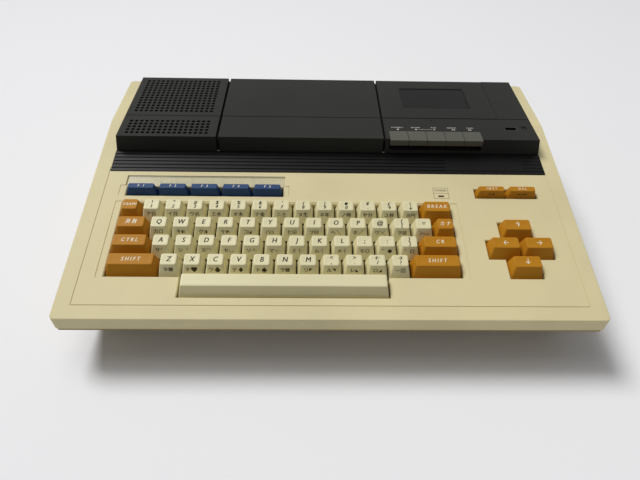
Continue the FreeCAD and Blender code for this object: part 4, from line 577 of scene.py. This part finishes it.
def lettering(text, size, spread=1.0, slant=0.0, stretch=1.0, line=1.0, bold=0.0):
    """Thin raised letters round their own middle, as a bmesh in millimetres."""
    curve = bpy.data.curves.new("letters", "FONT")
    curve.body = text
    curve.size = size
    curve.space_character = spread
    curve.space_line = line
    curve.shear = slant
    curve.align_x = "CENTER"
    curve.align_y = "CENTER"
    curve.resolution_u = 2
    curve.extrude = INK / 2
    holder = bpy.data.objects.new("letters", curve)
    bpy.context.collection.objects.link(holder)
    bpy.context.view_layer.update()
    mesh = bpy.data.meshes.new_from_object(holder)
    bpy.data.objects.remove(holder)
    bpy.data.curves.remove(curve)
    bm = bmesh.new()
    bm.from_mesh(mesh)
    bpy.data.meshes.remove(mesh)
    bmesh.ops.scale(bm, vec=(stretch, 1, 1), verts=bm.verts)
    if bold:
        second = bm.copy()
        bmesh.ops.translate(bm, vec=(-bold, 0, 0), verts=bm.verts)
        merge(bm, second, Matrix.Translation((bold, 0, SECOND_INK)))
    return bm


def top_letters(bm, text, form, width, depth, place, size, **style):
    """Puts letters on the dished top of a cap."""
    letters = lettering(text, size, **style)
    half_x, half_y = top_half(form, width, depth)
    for vert in letters.verts:
        inward = min(half_x - abs(vert.co.x), half_y - abs(vert.co.y))
        vert.co.z += form.rise + LETTER_LIFT - top_depth(form, half_y, inward)
    centre_y = (form.front - form.back) / 2
    merge(bm, letters, place @ Matrix.Translation((0, centre_y, 0)))


def front_letters(bm, text, form, depth, place, size, height, **style):
    """Puts letters on the leaning front face of a cap, this far above the deck."""
    lean = math.atan2(form.rise + form.drop, form.front)
    back = -depth / 2 + form.front * (height + form.drop) / (form.rise + form.drop)
    spot = Matrix.Translation((0, back, height)) @ Matrix.Rotation(lean, 4, "X")
    merge(bm, lettering(text, size, **style), place @ spot @ Matrix.Translation((0, 0, INK / 2)))


def row_middle(row):
    return GRID_FRONT + (row + 0.5) * PITCH


def on_deck(u, v, w=0.0):
    return DECK @ Matrix.Translation((u, v, w))


def plain_keys():
    """Cream caps, a row at a time, with their letters."""
    depth = PITCH - CAP_GAP
    for node, row, first, caps in PLAIN_ROWS:
        bm, letters, marks = bmesh.new(), bmesh.new(), bmesh.new()
        for number, (top, front) in enumerate(caps):
            place = on_deck(GRID_LEFT + (first + number + 0.5) * PITCH, row_middle(row))
            merge(bm, key_cap(FULL_CAP, depth, depth), place)
            size = DOUBLE_LETTER_SIZE if "\n" in top else LETTER_SIZE
            top_letters(letters, top, FULL_CAP, depth, depth, place, size, **PLAIN_STYLE)
            front_letters(marks, front, FULL_CAP, depth, place, MARK_SIZE, MARK_HEIGHT, **MARK_STYLE)
        piece = finish_piece(f"{node}_caps", bm, KEY_CREAM, node)
        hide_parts(node)
        finish_piece(f"{node}_letters", letters, INK_BLACK, node)
        finish_piece(f"{node}_marks", marks, INK_BROWN, node)


def lone_cap(node, form, width, depth, place, paint, stems=(0.0,)):
    """One cap that is a body of its own."""
    material, slot = paint
    bm = bmesh.new()
    merge(bm, key_cap(form, width, depth, stems), place)
    piece = finish_piece(f"{node}_cap", bm, material, node)
    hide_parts(node)


def top_word(node, form, width, depth, place, word, size, spread):
    letters = bmesh.new()
    top_letters(letters, word, form, width, depth, place, size, spread=spread, **WORD_STYLE)
    finish_piece(f"{node}_word", letters, INK_WHITE, node)


def front_word(node, form, depth, place, word):
    letters = bmesh.new()
    front_letters(
        letters, word, form, depth, place, FRONT_WORD_SIZE, FRONT_WORD_HEIGHT, **FRONT_WORD_STYLE
    )
    finish_piece(f"{node}_front_word", letters, INK_BLACK, node)


def wide_keys():
    """The orange keys at both ends of the rows."""
    depth = PITCH - CAP_GAP
    for node, row, first, units, word in WIDE_KEYS:
        width = units * PITCH - CAP_GAP
        place = on_deck(GRID_LEFT + (first + units / 2) * PITCH, row_middle(row))
        lone_cap(node, FULL_CAP, width, depth, place, ORANGE_PAINT)
        size, spread = WORD_SIZE, WORD_SPREAD
        if word == "GRAPH":
            size, spread = LONG_WORD_SIZE, LONG_WORD_SPREAD
        top_word(node, FULL_CAP, width, depth, place, word, size, spread)


def cursor_keys():
    """The orange keys with arrows, at the right."""
    depth = PITCH - CAP_GAP
    width = CURSOR_UNITS * PITCH - CAP_GAP
    for node, row, first, word in CURSOR_KEYS:
        u = CURSOR_LEFT + (first + CURSOR_UNITS / 2) * PITCH
        place = on_deck(u, row_middle(row) - CURSOR_DROP)
        lone_cap(node, FULL_CAP, width, depth, place, ORANGE_PAINT)
        top_word(node, FULL_CAP, width, depth, place, word, ARROW_SIZE, WORD_SPREAD)


def space_bar():
    """The long cream bar, with a plunger in the middle and a guide near each end."""
    place = on_deck(GRID_LEFT + (BAR_FIRST + BAR_UNITS / 2) * PITCH, row_middle(0))
    width = BAR_UNITS * PITCH - CAP_GAP
    stems = (-BAR_GUIDE, 0.0, BAR_GUIDE)
    lone_cap("space_bar", BAR_CAP, width, PITCH - CAP_GAP, place, CREAM_PAINT, stems)


def low_keys(keys, left, paint):
    """A row of low keys along the back of the deck."""
    depth = SMALL_DEPTH - CAP_GAP
    width = SMALL_UNITS * PITCH - CAP_GAP
    for node, number, word, front in keys:
        u = left + (number + 0.5) * SMALL_UNITS * PITCH
        place = on_deck(u, SMALL_FRONT + SMALL_DEPTH / 2)
        lone_cap(node, LOW_CAP, width, depth, place, paint)
        top_word(node, LOW_CAP, width, depth, place, word, LOW_WORD_SIZE, LOW_WORD_SPREAD)
        if front:
            front_word(node, LOW_CAP, depth, place, front)


# Printed marks on the case and the deck

def plate(bm, width, depth, place, height=INK):
    """A thin printed bar."""
    bar = bmesh.new()
    bmesh.ops.create_cube(bar, size=1.0)
    bmesh.ops.scale(bar, vec=(width, depth, height), verts=bar.verts)
    merge(bm, bar, place)


def outline(bm, width, depth, line, place):
    """A thin printed frame."""
    for side in (-1, 1):
        plate(bm, width, line, place @ Matrix.Translation((0, side * (depth - line) / 2, 0)))
        plate(bm, line, depth - 2 * line, place @ Matrix.Translation((side * (width - line) / 2, 0, 0)))


def power_label():
    """The word and the frame round the lamp."""
    bm = bmesh.new()
    middle = on_deck(*LAMP_LABEL, INK / 2)
    outline(bm, LAMP_LABEL_WIDTH, LAMP_LABEL_DEPTH, PRINTED_LINE, middle)
    plate(bm, LAMP_BAR, PRINTED_LINE, middle)
    word = lettering("POWER", LAMP_WORD_SIZE, spread=1.1, bold=LABEL_BOLD)
    merge(bm, word, on_deck(*LAMP_WORD, INK / 2))
    finish_piece("power_label", bm, INK_BROWN, "case")


def on_top(x, y, z=INK / 2):
    """A place on the raised rear, y counted from the front edge of the case."""
    return Matrix.Translation((x, FRONT_Y + y, TOP_Z + z))


def disc(bm, radius, place, sides=20):
    """A thin printed disc, or a triangle with three sides."""
    mark = bmesh.new()
    bmesh.ops.create_cone(
        mark, cap_ends=True, segments=sides, radius1=radius, radius2=radius, depth=INK
    )
    merge(bm, mark, place)


def arrow(bm, x, way):
    """A triangle among the tape signs, pointing right where way is -1 and left where it is 1."""
    turn = Matrix.Rotation(math.radians(way * 90), 4, "Z")
    disc(bm, ARROW_SIGN, on_top(x, TAPE_SIGNS) @ turn, sides=3)


def tape_labels():
    """Words and signs in a row behind the tape keys."""
    bm = bmesh.new()
    words = ["STOP/EJECT", "RECORD", "PLAY", "REWIND", "F.FWD"]
    for number, word in enumerate(words):
        x = TAPE_LEFT + (number + 0.5) * TAPE_PITCH - TAPE_WORD_SHIFT
        merge(bm, lettering(word, TAPE_WORD_SIZE, bold=LABEL_BOLD), on_top(x, TAPE_WORDS))
    stop = TAPE_LEFT + 0.5 * TAPE_PITCH
    plate(bm, STOP_SIGN, STOP_SIGN, on_top(stop, TAPE_SIGNS))
    disc(bm, RECORD_SIGN, on_top(stop + TAPE_PITCH, TAPE_SIGNS))
    plate(bm, TAPE_PITCH - SIGN_GAP, PRINTED_LINE, on_top(stop + 1.5 * TAPE_PITCH, TAPE_SIGNS))
    arrow(bm, stop + 2 * TAPE_PITCH, -1)
    for step in (0.0, ARROW_STEP):
        arrow(bm, stop + 3 * TAPE_PITCH + step, 1)
        arrow(bm, stop + 4 * TAPE_PITCH - step, -1)
    finish_piece("tape_key_words", bm, INK_PALE, "case")


def strip_groove_shades():
    """Dark bars of painted shade for the grooves that run on past the smooth plate, over it, under it and
    to its right.
    """
    bm = bmesh.new()
    pitch = (STRIP_BACK - STRIP_FRONT) / STRIP_RIBS
    for number in range(STRIP_RIBS):
        left = STRIP_SMOOTH if number in (0, STRIP_RIBS - 1) else STRIP_PLATE_END
        middle = STRIP_FRONT + (number + GROOVE_MIDDLE) * pitch
        width = STRIP_HALF - STRIP_END - left
        place = on_deck(left + width / 2, middle, STRIP_RIB + GROOVE_LIFT)
        plate(bm, width, pitch * GROOVE_SHARE, place)
    finish_piece("strip_groove_shades", bm, INNER_BLACK_AND_PAINTED_SHADE, "case")


def seam_shades():
    """Dark strips of painted shade deep in the two seams between the black covers."""
    bm = bmesh.new()
    for middle in COVER_SEAMS:
        place = on_top(middle, (SEAM_FRONT + SEAM_BACK) / 2, -SEAM_DEPTH - SEAM_HEIGHT / 2)
        plate(bm, SEAM_WIDTH, SEAM_BACK - SEAM_FRONT, place, SEAM_HEIGHT)
    finish_piece("cover_seam_shades", bm, INNER_BLACK_AND_PAINTED_SHADE, "case")


def lid_catch_hole_shade():
    """A dark disc of painted shade in front of the cassette door, standing for a small hole."""
    bm = bmesh.new()
    disc(bm, CATCH_HOLE_RADIUS, on_top(*CATCH_HOLE))
    finish_piece("lid_catch_hole_shade", bm, INNER_BLACK_AND_PAINTED_SHADE, "case")


def strip_shadow_lip():
    """The dark upper edge of the ribbed strip, under the front of the covers: a black bar of painted
    shade.
    """
    bm = bmesh.new()
    width = STRIP_SMOOTH + STRIP_HALF
    place = on_deck(STRIP_SMOOTH - width / 2, STRIP_BACK + LIP_BACK, -LIP_SINK)
    plate(bm, width, LIP_DEPTH, place, LIP_HEIGHT)
    finish_piece("strip_shadow_lip", bm, STRIP_BLACK, "case")


def window_lines():
    """Printed lines round the cassette window and the counter window."""
    bm = bmesh.new()
    outline(bm, DOOR_WINDOW_WIDTH, DOOR_WINDOW_DEPTH, DOOR_WINDOW_LINE, on_top(*DOOR_WINDOW))
    finish_piece("door_window_line", bm, INNER_BLACK_AND_PAINTED_SHADE, "cassette_lid")
    bm = bmesh.new()
    outline(bm, COUNTER_WINDOW_WIDTH, COUNTER_WINDOW_DEPTH, PRINTED_LINE, on_top(*COUNTER_WINDOW))
    finish_piece("counter_window_line", bm, INK_DARK_GREY, "case")


# Stage, light and camera

WORLD_LIGHT = 0.21
FLOOR_HALF = 6.0
LENS = 29.1
CAMERA_PLACE = (-0.0196, -0.3926, 0.3831)
CAMERA_FORWARD = (0.022, 0.706, -0.708)
CAMERA_RIGHT = (0.99973, -0.0107, 0.0205)


def white_to_camera(nodes, links, plain, shown):
    """Mixes in a plain white wherever the camera, a gloss or a clear sheet looks."""
    path = nodes.new("ShaderNodeLightPath")
    first = nodes.new("ShaderNodeMath")
    first.operation = "MAXIMUM"
    second = nodes.new("ShaderNodeMath")
    second.operation = "MAXIMUM"
    mixed = nodes.new("ShaderNodeMixShader")
    links.new(path.outputs["Is Camera Ray"], first.inputs[0])
    links.new(path.outputs["Is Glossy Ray"], first.inputs[1])
    links.new(first.outputs[0], second.inputs[0])
    links.new(path.outputs["Is Transmission Ray"], second.inputs[1])
    links.new(second.outputs[0], mixed.inputs["Fac"])
    links.new(plain, mixed.inputs[1])
    links.new(shown, mixed.inputs[2])
    return mixed.outputs["Shader"]


def make_world():
    world = bpy.data.worlds.new("studio")
    bpy.context.scene.world = world
    world.use_nodes = True
    nodes, links = world.node_tree.nodes, world.node_tree.links
    light = nodes["Background"]
    light.inputs["Color"].default_value = (1.0, 1.0, 1.0, 1.0)
    light.inputs["Strength"].default_value = WORLD_LIGHT
    shown = nodes.new("ShaderNodeBackground")
    shown.inputs["Color"].default_value = colour(234, 236, 240)
    shown.inputs["Strength"].default_value = 1.0
    surface = white_to_camera(nodes, links, light.outputs[0], shown.outputs[0])
    links.new(surface, nodes["World Output"].inputs["Surface"])


def make_floor():
    bm = bmesh.new()
    bmesh.ops.create_grid(bm, x_segments=1, y_segments=1, size=FLOOR_HALF)
    mesh = bpy.data.meshes.new("floor")
    bm.to_mesh(mesh)
    bm.free()
    material, _, _, shader = new_material("pale_floor")
    shader.inputs["Base Color"].default_value = colour(238, 238, 240)
    shader.inputs["Roughness"].default_value = 0.9
    mesh.materials.append(material)
    floor = bpy.data.objects.new("floor", mesh)
    bpy.context.collection.objects.link(floor)


def hang_light(name, data, place, target):
    """Sets a light at a place and turns it to a target."""
    lamp = bpy.data.objects.new(name, data)
    lamp.location = place
    lamp.rotation_euler = (Vector(target) - Vector(place)).to_track_quat("-Z", "Y").to_euler()
    bpy.context.collection.objects.link(lamp)


def sun_light(name, place, target, spread, power):
    data = bpy.data.lights.new(name, "SUN")
    data.angle = math.radians(spread)
    data.energy = power
    hang_light(name, data, place, target)


def area_light(name, place, target, size, power):
    data = bpy.data.lights.new(name, "AREA")
    data.shape = "DISK"
    data.size = size
    data.energy = power
    hang_light(name, data, place, target)


def make_lights():
    sun_light("ceiling", (-0.85, 0.7, 1.6), (0, 0, 0), spread=22.0, power=2.05)
    area_light("overhead", (-0.4, 0.2, 1.4), (0, -0.05, 0), size=1.0, power=4.5)
    area_light("front_fill", (0.3, -1.3, 0.9), (0, 0, 0), size=1.2, power=0.4)


def make_camera():
    data = bpy.data.cameras.new("camera")
    data.sensor_width = 36.0
    data.lens = LENS
    camera = bpy.data.objects.new("camera", data)
    forward = Vector(CAMERA_FORWARD).normalized()
    right = Vector(CAMERA_RIGHT)
    right = (right - forward * right.dot(forward)).normalized()
    up = right.cross(forward)
    turn = Matrix((right, up, -forward)).transposed().to_4x4()
    camera.matrix_world = Matrix.Translation(CAMERA_PLACE) @ turn
    bpy.context.collection.objects.link(camera)
    bpy.context.scene.camera = camera


bpy.context.scene.view_settings.view_transform = "Standard"
finish_nodes()
soften_edges()
plain_keys()
wide_keys()
cursor_keys()
space_bar()
low_keys(FUNCTION_KEYS, FUNCTION_LEFT, BLUE_PAINT)
low_keys(EDIT_KEYS, CURSOR_LEFT, ORANGE_PAINT)
power_label()
tape_labels()
strip_groove_shades()
strip_shadow_lip()
seam_shades()
lid_catch_hole_shade()
window_lines()
make_world()
make_floor()
make_lights()
make_camera()
